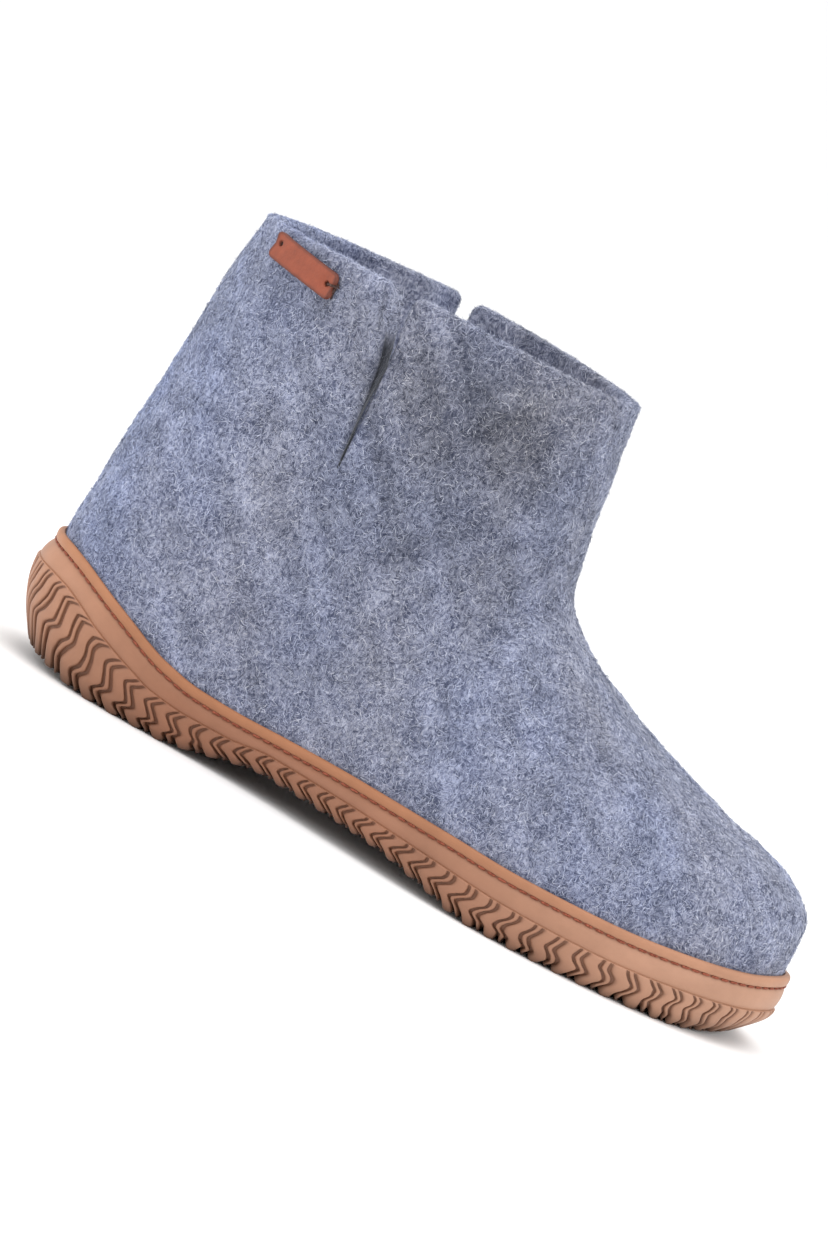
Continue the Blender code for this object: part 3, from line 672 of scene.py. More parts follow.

# %% [markdown]
# The finish multiplies the fine pattern of the shader by the slow tone stored at each point, which
# holds painted shade and light as well as the wool's own clouds. The streaks' coordinates are bent
# by a noise first, so that they curl as fibres do.

# %% the felt's finish
felt_finish, tree, shader, where = new_finish("felt_blue_grey", 0.95, 0.15)
curl = {"Vector": where, "Scale": 260.0, "Detail": 2.0}
bend = add_node(tree, "ShaderNodeTexNoise", curl).outputs["Color"]
bent = vector_math(tree, "SUBTRACT", {0: bend, 1: (0.5, 0.5, 0.5)})
bent = vector_math(tree, "SCALE", {0: bent, "Scale": 0.0022})
curled = vector_math(tree, "ADD", {0: where, 1: bent})
streaks = None
for angle in (0.35, 1.35, 2.45):
    streak = noise(tree, curled, 1.0, 1.0, 0.5, (0.3 * angle, angle, 0.0), (2100.0, 1500.0, 430.0))
    streaks = streak if streaks is None else math(tree, "MAXIMUM", streaks, streak)
clouds = noise(tree, where, 95.0, 3.0, 0.55)
specks = noise(tree, where, 780.0, 4.0, 0.62)
shade = math(tree, "ADD", math(tree, "MULTIPLY", clouds, 0.55), specks)
shade = math(tree, "ADD", shade, math(tree, "MULTIPLY", streaks, 0.75))
shade = math(tree, "SUBTRACT", shade, 0.72)
wool = ramp(tree, shade, [(0.30, FELT_DARK), (0.50, FELT_MID), (0.72, FELT_PALE)])
tree.links.new(multiply(tree, wool, painted_tint(tree)), shader.inputs["Base Color"])
tree.links.new(bump(tree, math(tree, "ADD", specks, streaks), 0.6, 0.0006), shader.inputs["Normal"])
nap(shader)
felt_upper.data.materials.append(felt_finish)

# Painted light makes the wool inside and on the cuts paler than the skin; painted shade darkens the
# cut down the lower part of the slits
INSIDE_PAINTED_LIGHT, CUT_PAINTED_LIGHT = 1.28, 1.15
cut_light_and_shade = CUT_PAINTED_LIGHT * (1.0 - 0.9 * smoothstep((155.0 - edge_points[..., 2:]) / 10.0))
tints = [wool_tint_and_shade(felt_outside), wool_tint_and_shade(felt_inside) * INSIDE_PAINTED_LIGHT, wool_tint_and_shade(edge_points) * cut_light_and_shade]
paint(felt_upper.data, "tint", np.concatenate([t.reshape(-1, 3) for t in tints]))
print("felt painted at", sum(tint.size // 3 for tint in tints), "points")

# %% [markdown]
# Felt is made of fibres, and they show on its skin, over its cut edges and against the light. Each
# one is a short bent ribbon of two faces. All are worked out at once: a random spot on the surface,
# a random direction along it, a bend, and a lift that raises one end. They are joined into a few
# meshes, and each fibre is pale, middling or dark.

# %% wool fibres
# Kinds of fibre, blue, grey, pale and dark: colour, share, and how strongly each follows the tone
FIBRE_COLOURS = np.array([(0.420, 0.450, 0.580), (0.290, 0.315, 0.425), (0.560, 0.580, 0.680),
                          (0.050, 0.060, 0.110)])
FIBRE_SHARES = [0.38, 0.22, 0.12, 0.28]
FIBRE_DEPTH = np.array([0.8, 1.2, 0.2, 1.6])


def random_spots(random, count, points, normals, quads):
    """Random places on a grid's quads, as many on each as its area asks for, and their normals."""
    corners = points.reshape(-1, 3)[quads]
    area = np.linalg.norm(np.cross(corners[:, 2] - corners[:, 0], corners[:, 3] - corners[:, 1]), axis=1)
    chosen = random.choice(len(quads), size=count, p=area / area.sum())
    u, v = random.uniform(size=(2, count, 1))
    weights = np.stack([(1 - u) * (1 - v), u * (1 - v), u * v, (1 - u) * v], axis=1)
    spots = (points.reshape(-1, 3)[quads[chosen]] * weights).sum(axis=1)
    facing = (normals.reshape(-1, 3)[quads[chosen]] * weights).sum(axis=1)
    return spots, facing / np.linalg.norm(facing, axis=1, keepdims=True)


def open_felt(spots, above=106.0, clear=0.9):
    """True for spots that aren't beside a slit, so that no fibre bridges it."""
    rear, front = look_up(SLIT, spots[:, 2], 1), look_up(SLIT, spots[:, 2], 2)
    rear = np.where(spots[:, 1] < 0.0, rear, look_up(SLIT, spots[:, 2], 3))
    return (spots[:, 2] < above) | (spots[:, 0] < rear - clear) | (spots[:, 0] > front + clear)


def fibre_mesh(name, random, spots, facing, length, width, lift, painted_light=1.0):
    """Ribbons through the spots: centre line = spot + direction * t + bend * (1 - 4 t^2) + lift."""
    count = len(spots)
    guide = random.normal(size=(count, 3))
    ahead = np.cross(facing, guide)
    ahead /= np.linalg.norm(ahead, axis=1, keepdims=True)
    across = np.cross(facing, ahead)
    long = random.uniform(*length, size=(count, 1))
    bend = random.normal(size=(count, 1)) * 0.16 * long
    tip = random.uniform(0.0, 1.0, size=(count, 1)) ** 3 * lift
    float_up = random.uniform(0.05, 0.35, size=(count, 1)) ** 1.5
    roll = random.uniform(-1.0, 1.0, size=(count, 1))
    half = 0.5 * random.uniform(*width, size=(count, 1))
    side = across * np.cos(roll) + facing * np.sin(roll)
    points = []
    for t, thin in ((-0.5, 0.6), (0.0, 1.0), (0.5, 0.35)):
        middle = spots + ahead * long * t + across * bend * (1.0 - 4.0 * t * t)
        middle += facing * (float_up + 0.08 * (1.0 - 4.0 * t * t) + tip * (t + 0.5) ** 2)
        points += [middle - side * half * thin, middle + side * half * thin]
    points = np.stack(points, axis=1)
    first = 6 * np.arange(count)[:, None]
    faces = np.vstack([first + [0, 2, 3, 1], first + [2, 4, 5, 3]])
    made = mesh_object(name, points, faces, fibre_finish, smooth_angle=None)
    kind = random.choice(len(FIBRE_SHARES), size=count, p=FIBRE_SHARES)
    depth = (wool_tone_and_shade(spots) ** (FIBRE_DEPTH[kind] - 1.0))[:, None]
    # A factor of painted light pales a whole layer, and the tint carries the wool's painted shade and light
    colour = FIBRE_COLOURS[kind] * painted_light * wool_tint_and_shade(spots) * depth
    colour *= random.uniform(0.85, 1.12, size=(count, 1))
    paint(made.data, "tint", np.repeat(colour, 6, axis=0))
    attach(made, "root")
    return made

# %% [markdown]
# The skin gets three layers: short thick fibres, middling ones, and long thin ones whose tips lift.
# The cut edges and the inside get one layer each, made a little paler by painted light. Spots beside
# a slit are left out, so that no fibre bridges it.

# %% layers of fibres
fibre_finish, tree, shader, where = new_finish("felt_fibres", 0.9, 0.1)
tree.links.new(painted_tint(tree), shader.inputs["Base Color"])
nap(shader)
random = np.random.default_rng(5)
middle_z = felt_outside.reshape(-1, 3)[outside_quads].mean(axis=1)
in_open = middle_z[:, 2] > look_up(SIDE_BANDS, middle_z[:, 0], 1) + 0.4
for letter, count, length, width, lift in (("a", 47000, (0.8, 2.0), (0.14, 0.26), 0.8),
                                           ("b", 47000, (0.8, 2.8), (0.11, 0.22), 0.8),
                                           ("c", 45000, (2.0, 5.0), (0.07, 0.13), 1.6)):
    spots, facing = random_spots(random, count, felt_outside, felt_normals, outside_quads[in_open])
    shown = open_felt(spots)
    fibre_mesh("felt_fibres_" + letter, random, spots[shown], facing[shown], length, width, lift)

edge_grid = np.stack([edge_out, *edge_points, edge_in])
along_edge = np.roll(edge_grid, -1, axis=1) - np.roll(edge_grid, 1, axis=1)
edge_facing = np.cross(along_edge, np.gradient(edge_grid, axis=0))
edge_facing /= np.maximum(np.linalg.norm(edge_facing, axis=-1, keepdims=True), 1e-9)
edge_facing *= np.sign((edge_facing[EDGE_ROWS // 2 + 1] * edge_away).sum(axis=1))[None, :, None]
edge_quads_own = ring_quads(EDGE_ROWS + 2, len(edge_at)).reshape(-1, 4)
spots, facing = random_spots(random, 20000, edge_grid, edge_facing, edge_quads_own)
on_cut = open_felt(spots, 104.0, 0.3) | (spots[:, 2] > 151.0)
fibre_mesh("felt_fibres_edge", random, spots[on_cut], facing[on_cut], (1.2, 3.0), (0.09, 0.17), 1.0, 1.12)
inside_shown = outside_quads[middle_z[:, 2] > 60.0]
spots, facing = random_spots(random, 14000, felt_inside, -felt_normals, inside_shown)
fibre_mesh("felt_fibres_inside", random, spots, facing, (1.8, 4.5), (0.10, 0.20), 0.7, 1.25)

# %% [markdown]
# The sole's side is drawn once as a profile, from the floor of the cup over the lip, round the
# thread groove, down the smooth band and the ribbed band to the tread. The profile is carried round
# the footprint. The ribs are columns of the same grid: in each row they slide along the edge, which
# bends every groove into the zigzag that the mould cut, and the groove columns are sunk.

# %% ribs of the sole
# Zigzag of a rib: x, then mm towards the toe at these shares of the way down the band
RIB_SHARES = [0.0, 0.12, 0.25, 0.42, 0.6, 0.8, 1.0]
RIB_ZIGZAG = [
    (0.0, 0.0, 0.0, 0.0, 0.0, 0.0, 0.0, 0.0), (4.5, 0.0, -1.0, -2.4, -4.6, -4.8, -4.6, -4.6),
    (11.5, 0.0, -1.8, -3.0, -6.2, -8.0, -7.4, -8.2), (20.0, 0.0, -3.0, -3.4, -5.6, -9.4, -8.8, -9.6),
    (28.0, 0.0, -4.2, -4.1, -3.9, -8.4, -8.6, -8.6), (36.0, 0.0, -4.3, -4.4, -3.9, -6.0, -8.0, -6.6),
    (45.0, 0.0, -3.4, -4.6, -3.7, -3.4, -6.4, -4.0),
    (60.0, 0.0, -1.8, -3.8, -2.2, -0.8, -4.0, -1.3), (75.0, 0.0, -1.8, -3.0, -1.4, 0.4, -1.5, -0.5),
    (90.0, 0.0, -1.0, -2.0, -2.6, -1.0, 0.4, 1.6), (130.0, 0.0, -0.9, -2.0, -2.6, -1.0, 0.4, 1.6),
    (150.0, 0.0, -0.3, -1.6, -3.6, -4.6, -2.8, -1.5), (170.0, 0.0, 0.0, -1.2, -3.4, -4.9, -2.8, -1.2),
    (185.0, 0.0, 0.3, 0.1, -2.4, -4.5, -2.4, -1.2), (200.0, 0.0, 0.2, -0.6, -2.8, -3.8, -1.4, -1.4),
    (215.0, 0.0, -0.5, -1.4, -2.5, -1.0, 0.2, -1.3), (228.0, 0.0, -0.6, -1.2, 0.6, 2.5, 0.8, -0.6),
    (240.0, 0.0, 0.8, 2.2, 3.8, 2.6, 0.9, 0.6), (250.0, 0.0, 1.6, 3.2, 2.2, 1.0, 2.4, 3.0),
    (262.0, 0.0, 1.4, 1.0, -0.6, 0.6, 2.2, 1.0), (LENGTH, 0.0, 0.0, 0.0, 0.0, 0.0, 0.0, 0.0),
]
# Across one lug: share of the pitch, share of the groove's depth, lift of the bottom edge in mm
RIB_COLUMNS = [
    (0.0, 0.50, 1.1), (0.05, 0.22, 0.55), (0.12, 0.06, 0.1), (0.26, 0.0, 0.0), (0.38, 0.0, 0.2),
    (0.475, 0.0, 0.6), (0.51, 0.18, 0.9), (0.54, 1.0, 1.3), (0.640, 1.0, 1.3), (0.672, 0.25, 1.0),
    (0.71, 0.05, 0.8), (0.78, 0.05, 0.8), (0.82, 0.25, 1.0), (0.85, 1.0, 1.4), (0.955, 1.0, 1.4),
]
RIB_DEPTHS = [(0.0, 0.05), (0.05, 0.55), (0.15, 0.9), (0.55, 1.0), (0.8, 1.5), (1.0, 2.0)]
RIB_ROWS = 26

lug_table = np.array(RIB_COLUMNS)
lug_place = (np.arange(LUGS_PER_SIDE)[:, None] + lug_table[None, :, 0]).ravel() / LUGS_PER_SIDE
lug_cut = np.tile(lug_table[:, 1], LUGS_PER_SIDE)
lug_lift = np.tile(lug_table[:, 2], LUGS_PER_SIDE)
SIDE_COLUMNS = len(lug_place)
loop_cut = np.concatenate([lug_cut, [0.0], lug_cut[1:][::-1]])
loop_lift = np.concatenate([lug_lift, [0.0], lug_lift[1:][::-1]])

# %% [markdown]
# One function gives the rows of the smooth part of the side, another each row of the ribbed band.
# Both work on the whole loop of the footprint at once.

# %% rows of the sole's side
def sole_loop(slide=None):
    """The footprint at the rib columns, slid along it by slide(x) in mm, heel to toe on each side."""
    sides = []
    for curve, girth in zip((OUTER_CURVE, INNER_CURVE), HALF_GIRTH):
        at = lug_place
        if slide is not None:
            x = read_along(curve, lug_place)[:, 0]
            at = at + slide(x) / girth * smoothstep(np.minimum(lug_place, 1.0 - lug_place) / 0.05)
        sides.append(read_along(curve, at))
    return np.vstack([sides[0], [TOE_TIP], sides[1][1:][::-1]])


def sole_profile(x):
    """Smooth part of the side, from the cup's floor up and over the lip: distance in, and height."""
    floor = look_up(UNDERSIDE, x, 2)
    lip, band = look_up(SIDE_BANDS, x, 1), look_up(SIDE_BANDS, x, 2)
    cup = cup_inset(x)
    face = cup - CUP_WALL - TOE_LIP_PROUD * toe_share(x)
    seam = lip - BEAD_HEIGHT - SEAM_HALF
    foot = 0.3 + toe_share(x)
    bed = face + 0.1 + SEAM_DEPTH
    rows = [
        (cup + CORNER_IN, floor), (cup, floor + CORNER_UP), (cup, lip - 1.2), (cup - 0.12, lip - 0.5),
        (cup - 0.5, lip - 0.08), (mix(cup, face, 0.5), lip), (face + 0.75, lip - 0.1),
        (face + 0.3, lip - 0.45), (face + 0.05, lip - 1.1), (face, lip - 1.8), (face + 0.06, lip - 2.6),
        (face + 0.3, lip - 3.2), (face + 0.7, seam + 0.35), (bed, seam + 0.15), (bed, seam - 0.15),
        (face + 0.6, seam - 0.4), (face + 0.3, seam - 0.8),
    ]
    for t in np.linspace(0.0, 1.0, 10)[1:]:
        hollow = 0.55 * np.sin(np.pi * t) ** 0.8
        rows.append((mix(face + 0.3, foot, t) - hollow, mix(seam - 0.8, band + 0.25, t)))
    rows.append((foot + 0.1, band))
    return rows


def rib_row(share):
    """One row of the ribbed band: slid into the zigzag, tucked in towards the ground, and grooved."""
    zigzag = np.array(RIB_ZIGZAG)
    offsets = np.array([look_up(np.column_stack([RIB_SHARES, row[1:]]), share, 1) for row in zigzag])
    table = np.column_stack([zigzag[:, 0], offsets])
    loop = sole_loop(lambda x: look_up(table, x, 1))
    x = loop[:, 0]
    band = look_up(SIDE_BANDS, x, 2) - 0.1
    depth = np.interp(share, *zip(*RIB_DEPTHS)) * loop_cut
    edge = 0.25 * np.clip(1.0 - share / 0.03, 0.0, 1.0)
    moved = inset(loop, toe_share(x) - STEP_PROUD + edge + look_up(UNDERSIDE, x, 3) * share ** 2.4 + depth)
    ground = look_up(UNDERSIDE, moved[:, 0], 1)
    return np.column_stack([moved, mix(band, ground, share) + 1.4 * loop_lift * share ** 4])


smooth_loop = sole_loop()
profile = sole_profile(smooth_loop[:, 0])
sole_rows = [np.column_stack([inset(smooth_loop, away), tall]) for away, tall in profile]
lip_rows = len(sole_rows)
band_shares = np.concatenate([[0.0, 0.015, 0.03], np.linspace(0.06, 1.0, RIB_ROWS - 3)])
sole_rows = np.array(sole_rows + [rib_row(share) for share in band_shares])
print("rows and columns of the sole's side:", sole_rows.shape[:2])

# %% [markdown]
# Underneath, the grooves run on across the sole from edge to edge, with a wave in them. The photo
# doesn't show them there. The two sides are joined by straight rows of the same columns, and the
# cup's floor is closed the same way.

# %% tread, cup floor and the sole's mesh
# Rows across the tread: share of the way, and how far the row is moved along the sole in mm
TREAD_ROWS = [
    (0.02, 0.0), (0.06, 0.0), (0.14, 1.6), (0.26, -1.6), (0.38, 1.6), (0.5, -1.6), (0.62, 1.6),
    (0.74, -1.6), (0.86, 1.6), (0.94, 0.0), (0.98, 0.0),
]
TREAD_DEPTH = 2.0


def rung_faces(rows, columns, rungs):
    """Faces across a closed grid's last row over `rungs` rows of own points, a fan at each end."""
    half, last = columns // 2, (rows - 1) * columns
    inner = rows * columns + np.arange(rungs * (half - 1)).reshape(rungs, half - 1)
    ladder = np.vstack([last + np.arange(1, half), inner, last + np.arange(columns - 1, half, -1)])
    near, far = ladder[:-1], ladder[1:]
    quads = np.stack([near[:, :-1], near[:, 1:], far[:, 1:], far[:, :-1]], axis=-1).reshape(-1, 4)
    heel_fan = np.column_stack([np.full(len(near), last), near[:, 0], far[:, 0]])
    toe_fan = np.column_stack([near[:, -1], np.full(len(near), last + half), far[:, -1]])
    return [*quads, *heel_fan, *toe_fan]


def flat_faces(columns):
    """Faces straight across a closed grid's first row, without points of their own."""
    half = columns // 2
    left, right = np.arange(1, half), np.arange(columns - 1, half, -1)
    quads = np.stack([left[:-1], right[:-1], right[1:], left[1:]], axis=-1)
    return [*quads, np.array([0, columns - 1, 1]), np.array([half - 1, half + 1, half])]


half = SIDE_COLUMNS
rows, columns = sole_rows.shape[:2]
left, right = sole_rows[-1, 1:half], sole_rows[-1, :half:-1]
fade = smoothstep(np.minimum(left[:, 0] - 12.0, LENGTH - 12.0 - left[:, 0]) / 16.0)
tread = []
for share, wave in TREAD_ROWS:
    line = mix(left, right, share)
    line[:, 0] += wave * fade
    line[:, 2] = look_up(UNDERSIDE, line[:, 0], 1) + TREAD_DEPTH * loop_cut[1:half] * fade
    tread.append(line)
sole_faces = list(ring_quads(rows, columns).reshape(-1, 4)[:, ::-1])
sole_faces += [np.roll(face[::-1], 1) for face in rung_faces(rows, columns, len(tread))]
sole_faces += [face[::-1] for face in flat_faces(columns)]
sole_points = np.vstack([sole_rows.reshape(-1, 3), np.array(tread).reshape(-1, 3)])
sole = mesh_object("rubber_sole", sole_points, sole_faces, smooth_angle=38.0)
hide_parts("outsole")
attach(sole, "root")

# %% [markdown]
# Gum rubber is tan. Painted light makes it paler at the heel and the toe than at the waist, and it
# is more orange on the lip that the thread pulls in. Painted shade darkens the grooves, the thread's
# groove, and the side towards the ground, darkest on the tread. Those rules are worked out for each
# point and stored as a colour attribute, and noise adds a light cloud over it.

# %% colour of the rubber
# The heel and toe colours hold painted light; the groove, seam and under colours are painted shade
RUBBER_MIDDLE = np.array([0.270, 0.118, 0.066])
RUBBER_HEEL_LIT = np.array([0.430, 0.222, 0.138])
RUBBER_TOE_LIT = np.array([0.430, 0.240, 0.158])
RUBBER_LIP = np.array([0.400, 0.165, 0.070])
RUBBER_GROOVE_SHADE = np.array([0.100, 0.036, 0.017])
RUBBER_SEAM_SHADE = np.array([0.190, 0.062, 0.034])
RUBBER_UNDER_SHADE = np.array([0.035, 0.015, 0.009])

x = sole_points[:, 0]
along = look_up([(0.0, 0.0, 1.0), (40.0, 0.0, 0.4), (80.0, 0.0, 0.0), (150.0, 0.1, 0.0), (220.0, 0.55, 0.0),
                 (LENGTH, 1.0, 0.0)], x, 1)[:, None]
heel_share = np.clip(1.0 - x / 70.0, 0.0, 1.0)[:, None]
# Painted light: paler towards the heel and the toe than at the waist
tint = mix(mix(RUBBER_MIDDLE, RUBBER_HEEL_LIT, heel_share), RUBBER_TOE_LIT, along)
row_of = np.repeat(np.arange(rows), columns)
# The profile's rows 3 to 14 are the lip, and rows 12 to 15 the seam
lip_share = np.zeros(len(x))
lip_share[:len(row_of)] = np.interp(row_of, [3, 5, 11, 14], [1.0, 0.9, 0.7, 0.0])
tint = mix(tint, RUBBER_LIP, (lip_share * (0.75 - 0.45 * along[:, 0]))[:, None])
# Painted shade in the thread's groove under the lip
seam_shade_share = np.zeros(len(x))
seam_shade_share[:len(row_of)] = np.interp(row_of, [11.5, 13, 14, 15.5], [0.0, 0.8, 0.8, 0.0])
tint = mix(tint, RUBBER_SEAM_SHADE, seam_shade_share[:, None])
# Painted shade in the grooves of the ribs and of the tread
groove = np.zeros(len(x))
groove[:len(row_of)] = np.tile(loop_cut, rows) * (row_of >= lip_rows + 1)
groove[len(row_of):] = np.tile(loop_cut[1:half], len(TREAD_ROWS))
tint = mix(tint, RUBBER_GROOVE_SHADE, 0.75 * groove[:, None])
# Painted shade, darker towards the ground and over the whole tread
down = np.zeros(len(x))
down[:len(row_of)] = np.clip((row_of - lip_rows) / (rows - 1 - lip_rows), 0.0, 1.0) ** 5
down[len(row_of):] = 1.0
tint = mix(tint, RUBBER_UNDER_SHADE, 0.75 * down[:, None])
paint(sole.data, "tint", tint)
print("tint of the rubber, darkest and palest:", tint.min(axis=0).round(3), tint.max(axis=0).round(3))

rubber_finish, tree, shader, where = new_finish("rubber_gum", 0.52, 0.35)
cloud = ramp(tree, noise(tree, where, 60.0, 4.0, 0.6),
             [(0.3, (0.86, 0.84, 0.82)), (0.7, (1.06, 1.05, 1.04))])
tree.links.new(multiply(tree, painted_tint(tree), cloud), shader.inputs["Base Color"])
tree.links.new(bump(tree, noise(tree, where, 1400.0, 3.0, 0.6), 0.12, 0.0004), shader.inputs["Normal"])
sole.data.materials.append(rubber_finish)

# %% [markdown]
# A lock stitch in red-brown thread runs in the groove under the lip. Each stitch is a short bar with
# six sides and pinched ends, laid along the groove, and all of them are one mesh.

# %% thread in the sole's groove
STITCH_PITCH, STITCH_LONG, STITCH_RADIUS = 3.8, 2.9, 0.38
THREAD_DEEP, THREAD_PALE = (0.15, 0.036, 0.020), (0.34, 0.098, 0.056)


def bars(centres, ahead, outward, long, radius):
    """Six-sided bars with ends pinched to a third, as points and faces."""
    up = np.cross(ahead, outward)
    angle = np.arange(6) * np.pi / 3.0
    ring = np.cos(angle)[:, None, None] * outward + np.sin(angle)[:, None, None] * up
    stations = [(-0.5, 0.3), (-0.34, 1.0), (0.34, 1.0), (0.5, 0.3)]
    points = np.stack([centres + ahead * long * t + ring * radius * r for t, r in stations])
    points = points.transpose(2, 0, 1, 3)
    first = 24 * np.arange(len(centres))[:, None]
    faces = [(first + quad) for quad in ring_quads(4, 6).reshape(-1, 4)]
    caps = [(first + [0, 5, 4, 3, 2, 1]), (first + 18 + np.arange(6))]
    return points.reshape(-1, 3), [f for block in faces + caps for f in block]


def seam_path():
    """Centre line of the thread: the groove's floor, closed round the sole."""
    x = smooth_loop[:, 0]
    face = cup_inset(x) - CUP_WALL - TOE_LIP_PROUD * toe_share(x)
    flat = inset(smooth_loop, face + SEAM_DEPTH - 0.30)
    return np.column_stack([flat, look_up(SIDE_BANDS, x, 1) - BEAD_HEIGHT - SEAM_HALF])


seam = seam_path()
closed = np.vstack([seam, seam[:1]])
run = np.concatenate([[0.0], np.cumsum(np.linalg.norm(np.diff(closed, axis=0), axis=1))])
stitches = int(run[-1] / STITCH_PITCH)
at = np.arange(stitches) * run[-1] / stitches
centres, ends = (np.stack([np.interp((at + shift) % run[-1], run, closed[:, i]) for i in range(3)], axis=1)
                 for shift in (0.0, 1.0))
ahead = (ends - centres) / np.linalg.norm(ends - centres, axis=1, keepdims=True)
outward = np.cross(ahead, [0.0, 0.0, 1.0])
outward /= np.linalg.norm(outward, axis=1, keepdims=True)
thread_finish, tree, shader, where = new_finish("thread_red_brown", 0.7, 0.2)
twist = ramp(tree, noise(tree, where, 1500.0, 2.0), [(0.3, THREAD_DEEP), (0.7, THREAD_PALE)])
tree.links.new(twist, shader.inputs["Base Color"])
stitch_points, stitch_faces = bars(centres, ahead, outward, STITCH_LONG, STITCH_RADIUS)
thread = mesh_object("sole_thread", stitch_points, stitch_faces, thread_finish)
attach(thread, "root")
print("stitches round the sole:", stitches)

# %% [markdown]
# The insole is a board of pressed grey felt on the cup's floor. Its edge is rounded and its top is
# a little dished. It only shows from above.

# %% insole
# Edge of the board, from below: mm in, mm up
BOARD_EDGE = [(0.6, 0.0), (0.0, 0.5), (0.0, 3.3), (0.3, 3.8), (1.0, INSOLE_THICK)]
BOARD_DEEP, BOARD_PALE = (0.16, 0.165, 0.18), (0.42, 0.42, 0.43)

felt_foot = inset(smooth_loop, cup_inset(smooth_loop[:, 0]) + FIT_GAP)[::5]
board = inset(felt_foot, CORNER_IN + FELT_WALL + 2.0 * FIT_GAP)
board_floor = look_up(UNDERSIDE, board[:, 0], 2) + INSOLE_GAP
rings = np.stack([np.column_stack([inset(board, away), board_floor + tall]) for away, tall in BOARD_EDGE])
board_rows, board_columns = rings.shape[:2]
board_half = board_columns // 2
board_left, board_right = rings[-1, 1:board_half], rings[-1, :board_half:-1]
board_top = []
for share in np.linspace(0.0, 1.0, 13)[1:-1]:
    line = mix(board_left, board_right, share)
    line[:, 2] += swell(line, 31, [30.0, 22.0, 14.0], 0.12) - 0.5 * np.sin(np.pi * share)
    board_top.append(line)
board_top = np.array(board_top)
faces = list(ring_quads(board_rows, board_columns).reshape(-1, 4))
faces += rung_faces(board_rows, board_columns, len(board_top)) + flat_faces(board_columns)
insole_finish, tree, shader, where = new_finish("felt_insole", 0.95, 0.1)
fleck = math(tree, "MULTIPLY", noise(tree, where, 90.0, 2.0), 0.4)
fleck = math(tree, "ADD", noise(tree, where, 700.0, 4.0, 0.65), fleck)
board_colour = ramp(tree, fleck, [(0.5, BOARD_DEEP), (0.9, BOARD_PALE)])
tree.links.new(board_colour, shader.inputs["Base Color"])
tree.links.new(bump(tree, fleck, 0.5, 0.0006), shader.inputs["Normal"])
board_points = np.vstack([rings.reshape(-1, 3), board_top.reshape(-1, 3)])
insole = mesh_object("insole_board", board_points, faces, insole_finish)
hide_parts("insole")
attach(insole, "root")

# %% [markdown]
# The tag is a strip of vegetable-tanned leather, sewn through a hole near each end. It is a grid
# bent round the collar with rounded corners, given its thickness and a soft edge by two modifiers.
# The strip is bare.

# %% leather tag
TAG_LENGTH, TAG_HEIGHT, TAG_THICK = 29.2, 8.8, 1.4
TAG_X, TAG_Z, TAG_DROP = 43.0, 155.0, 2.4
TAG_LEAN = 15.0 / 28.0
TAG_CORNER, TAG_TOP = 1.6, 2.3
TAG_ROWS, TAG_COLUMNS = 25, 81
HOLE_AT, HOLE_RADIUS, HOLE_DEPTH = 11.8, 0.8, 1.1
LEATHER_TAN = np.array([0.275, 0.062, 0.027])
LEATHER_WORN = np.array([0.140, 0.034, 0.018])
# The hole colour is painted shade in the dents that stand for the holes
LEATHER_HOLE_SHADE = np.array([0.020, 0.010, 0.008])


def on_collar(along, up, above):
    """A point `along` and `up` from the tag's middle, lifted `above` the felt along its normal."""
    x = TAG_X + along * np.cos(np.arctan(TAG_LEAN))
    z = TAG_Z + up - TAG_DROP * along / TAG_LENGTH
    y = -upper_width(LATERAL, x, z)
    slope_x = upper_width(LATERAL, x + 0.5, z) - upper_width(LATERAL, x - 0.5, z)
    slope_z = upper_width(LATERAL, x, z + 0.5) - upper_width(LATERAL, x, z - 0.5)
    normal = np.stack([-slope_x, -np.ones_like(x), -slope_z], axis=-1)
    normal /= np.linalg.norm(normal, axis=-1, keepdims=True)
    return np.stack([x, y, z], axis=-1) + normal * np.asarray(above)[..., None]


share, row = np.meshgrid(np.linspace(-1.0, 1.0, TAG_COLUMNS), np.linspace(-1.0, 1.0, TAG_ROWS))
share = np.sign(share) * (1.0 - (1.0 - np.abs(share)) ** 1.3)
along = 0.5 * TAG_LENGTH * share
corner = np.clip((np.abs(along) - 0.5 * TAG_LENGTH + TAG_CORNER) / TAG_CORNER, 0.0, 1.0)
up = row * (0.5 * TAG_HEIGHT - TAG_CORNER + TAG_CORNER * np.sqrt(1.0 - corner ** 2))
hole = np.minimum(np.hypot(along - HOLE_AT, up), np.hypot(along + HOLE_AT + 0.8, up - 1.0))
pit = smoothstep((HOLE_RADIUS + 0.25 - hole) / 0.5)
curl = 0.5 * np.abs(share) ** 6 * np.abs(row) - 0.5 * np.exp(-(hole / 2.2) ** 2)
tag_points = on_collar(along, up, TAG_TOP + curl - HOLE_DEPTH * pit)
tag_quads = ring_quads(TAG_ROWS, TAG_COLUMNS)[:, :-1].reshape(-1, 4)
leather, tree, shader, where = new_finish("leather_tan", 0.5, 0.4)
grain = noise(tree, where, 1300.0, 4.0, 0.6)
tone = ramp(tree, noise(tree, where, 260.0, 4.0, 0.6),
            [(0.3, (0.78, 0.74, 0.72)), (0.7, (1.10, 1.06, 1.04))])
tree.links.new(multiply(tree, painted_tint(tree), tone), shader.inputs["Base Color"])
tree.links.new(bump(tree, grain, 0.35, 0.0005), shader.inputs["Normal"])
tag = mesh_object("leather_strip", tag_points, tag_quads, leather)
worn = smoothstep((np.maximum(np.abs(row), np.abs(share) ** 4) - 0.72) / 0.28)[..., None]
leather_tint = mix(LEATHER_TAN, LEATHER_WORN, worn)
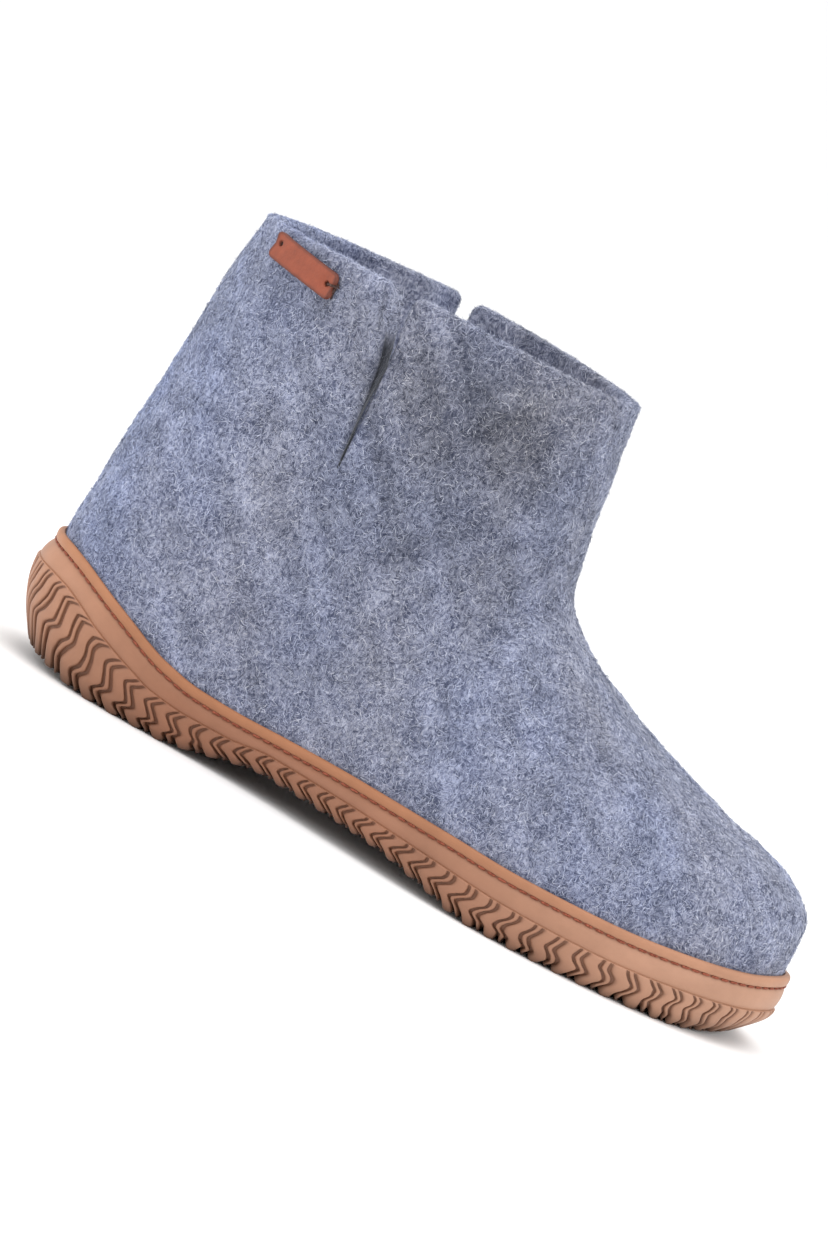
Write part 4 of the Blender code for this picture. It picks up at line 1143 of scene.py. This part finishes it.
# Painted shade: the dents of the holes are coloured near black
leather_tint = mix(leather_tint, LEATHER_HOLE_SHADE, pit[..., None])
paint(tag.data, "tint", leather_tint.reshape(-1, 3))
thickness = tag.modifiers.new("thickness", "SOLIDIFY")
thickness.thickness, thickness.offset = TAG_THICK * MM, -1.0
soft_edge = tag.modifiers.new("soft_edge", "BEVEL")
soft_edge.width, soft_edge.segments, soft_edge.limit_method = 0.25 * MM, 2, "ANGLE"
soft_edge.angle_limit = np.radians(50.0)
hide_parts("leather_tag")
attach(tag, "root")

# %% [markdown]
# Two short strands of dark thread hold the tag: one runs from the front hole over the end of the
# strip, the other lies along that end. Each is a tube along a low arch on the collar.

# %% thread of the tag
def tube(path, radius):
    """An eight-sided tube along a path, with closed ends, as points and faces."""
    path = np.array(path)
    ahead = np.gradient(path, axis=0)
    ahead /= np.linalg.norm(ahead, axis=1, keepdims=True)
    side = np.cross(ahead, [0.3, 0.2, 0.9])
    side /= np.linalg.norm(side, axis=1, keepdims=True)
    angle = np.arange(8) * np.pi / 4.0
    ring = np.cos(angle)[:, None] * side[:, None] + np.sin(angle)[:, None] * np.cross(ahead, side)[:, None]
    points = path[:, None] + radius * ring
    caps = [np.arange(8)[::-1], 8 * (len(path) - 1) + np.arange(8)]
    faces = list(ring_quads(len(path), 8).reshape(-1, 4)) + caps
    return points.reshape(-1, 3), faces


# Thread strands of the tag: from along, up to along, up, height of the loop
STRANDS = [(11.8, 0.0, 16.2, 1.0, 1.35), (15.4, 2.0, 14.9, -3.8, 0.35)]
STRAND_RADIUS = 0.45
dark_thread, tree, shader, where = new_finish("thread_dark", 0.8, 0.1)
strand_colour = ramp(tree, noise(tree, where, 2000.0, 2.0),
                     [(0.3, (0.020, 0.013, 0.013)), (0.7, (0.120, 0.070, 0.058))])
tree.links.new(strand_colour, shader.inputs["Base Color"])
t = np.linspace(0.0, 1.0, 14)
strand_points, strand_faces = [], []
for a0, u0, a1, u1, tall in STRANDS:
    arch = 1.3 * np.sin(np.pi * np.clip(t * 1.15, 0.0, 1.0)) ** 0.6 * tall
    path = on_collar(mix(a0, a1, t), mix(u0, u1, t), 0.6 + arch - 1.2 * smoothstep((t - 0.8) / 0.2))
    points, faces = tube(path, STRAND_RADIUS)
    strand_faces += [f + sum(len(p) for p in strand_points) for f in faces]
    strand_points.append(points)
strands = mesh_object("tag_thread", np.vstack(strand_points), strand_faces, dark_thread)
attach(strands, "root")

# %% [markdown]
# The floor is one wide pale sheet, lit by an even sky and three large soft lamps: one over the boot
# and one at each end, as in a product photo taken in a white tent.

# %% floor and lights
bpy.context.scene.view_settings.view_transform = "Standard"
FLOOR_HALF = 40.0
floor_mesh = bpy.data.meshes.new("floor")
floor_corners = [(x, y, 0.0) for x, y in ((-FLOOR_HALF, -FLOOR_HALF), (FLOOR_HALF, -FLOOR_HALF),
                                          (FLOOR_HALF, FLOOR_HALF), (-FLOOR_HALF, FLOOR_HALF))]
floor_mesh.from_pydata(floor_corners, [], [(0, 1, 2, 3)])
floor_finish, tree, shader, where = new_finish("floor_white", 0.9, 0.1)
shader.inputs["Base Color"].default_value = (0.96, 0.96, 0.96, 1.0)
floor_mesh.materials.append(floor_finish)
floor = bpy.data.objects.new("floor", floor_mesh)
bpy.context.scene.collection.objects.link(floor)

world = bpy.data.worlds.new("white_tent")
world.use_nodes = True
world.node_tree.nodes["Background"].inputs["Color"].default_value = (1.0, 1.0, 1.0, 1.0)
world.node_tree.nodes["Background"].inputs["Strength"].default_value = 1.05
bpy.context.scene.world = world


def soft_lamp(name, place, size, watts):
    """A square lamp that faces the boot."""
    lamp = bpy.data.lights.new(name, "AREA")
    lamp.size, lamp.energy = size, watts
    made = bpy.data.objects.new(name, lamp)
    away = np.array(place) - [0.0, 0.0, 0.08]
    made.rotation_mode = "QUATERNION"
    made.rotation_quaternion = Vector(away.tolist()).to_track_quat("Z", "Y")
    made.location = place
    bpy.context.scene.collection.objects.link(made)


soft_lamp("lamp_over", (0.1, -0.3, 1.9), 1.6, 16.0)
soft_lamp("lamp_heel", (-1.4, -0.9, 0.7), 1.0, 6.0)
soft_lamp("lamp_toe", (1.5, -0.6, 0.8), 1.0, 6.0)
print("lamps:", [lamp.name for lamp in bpy.data.lights])
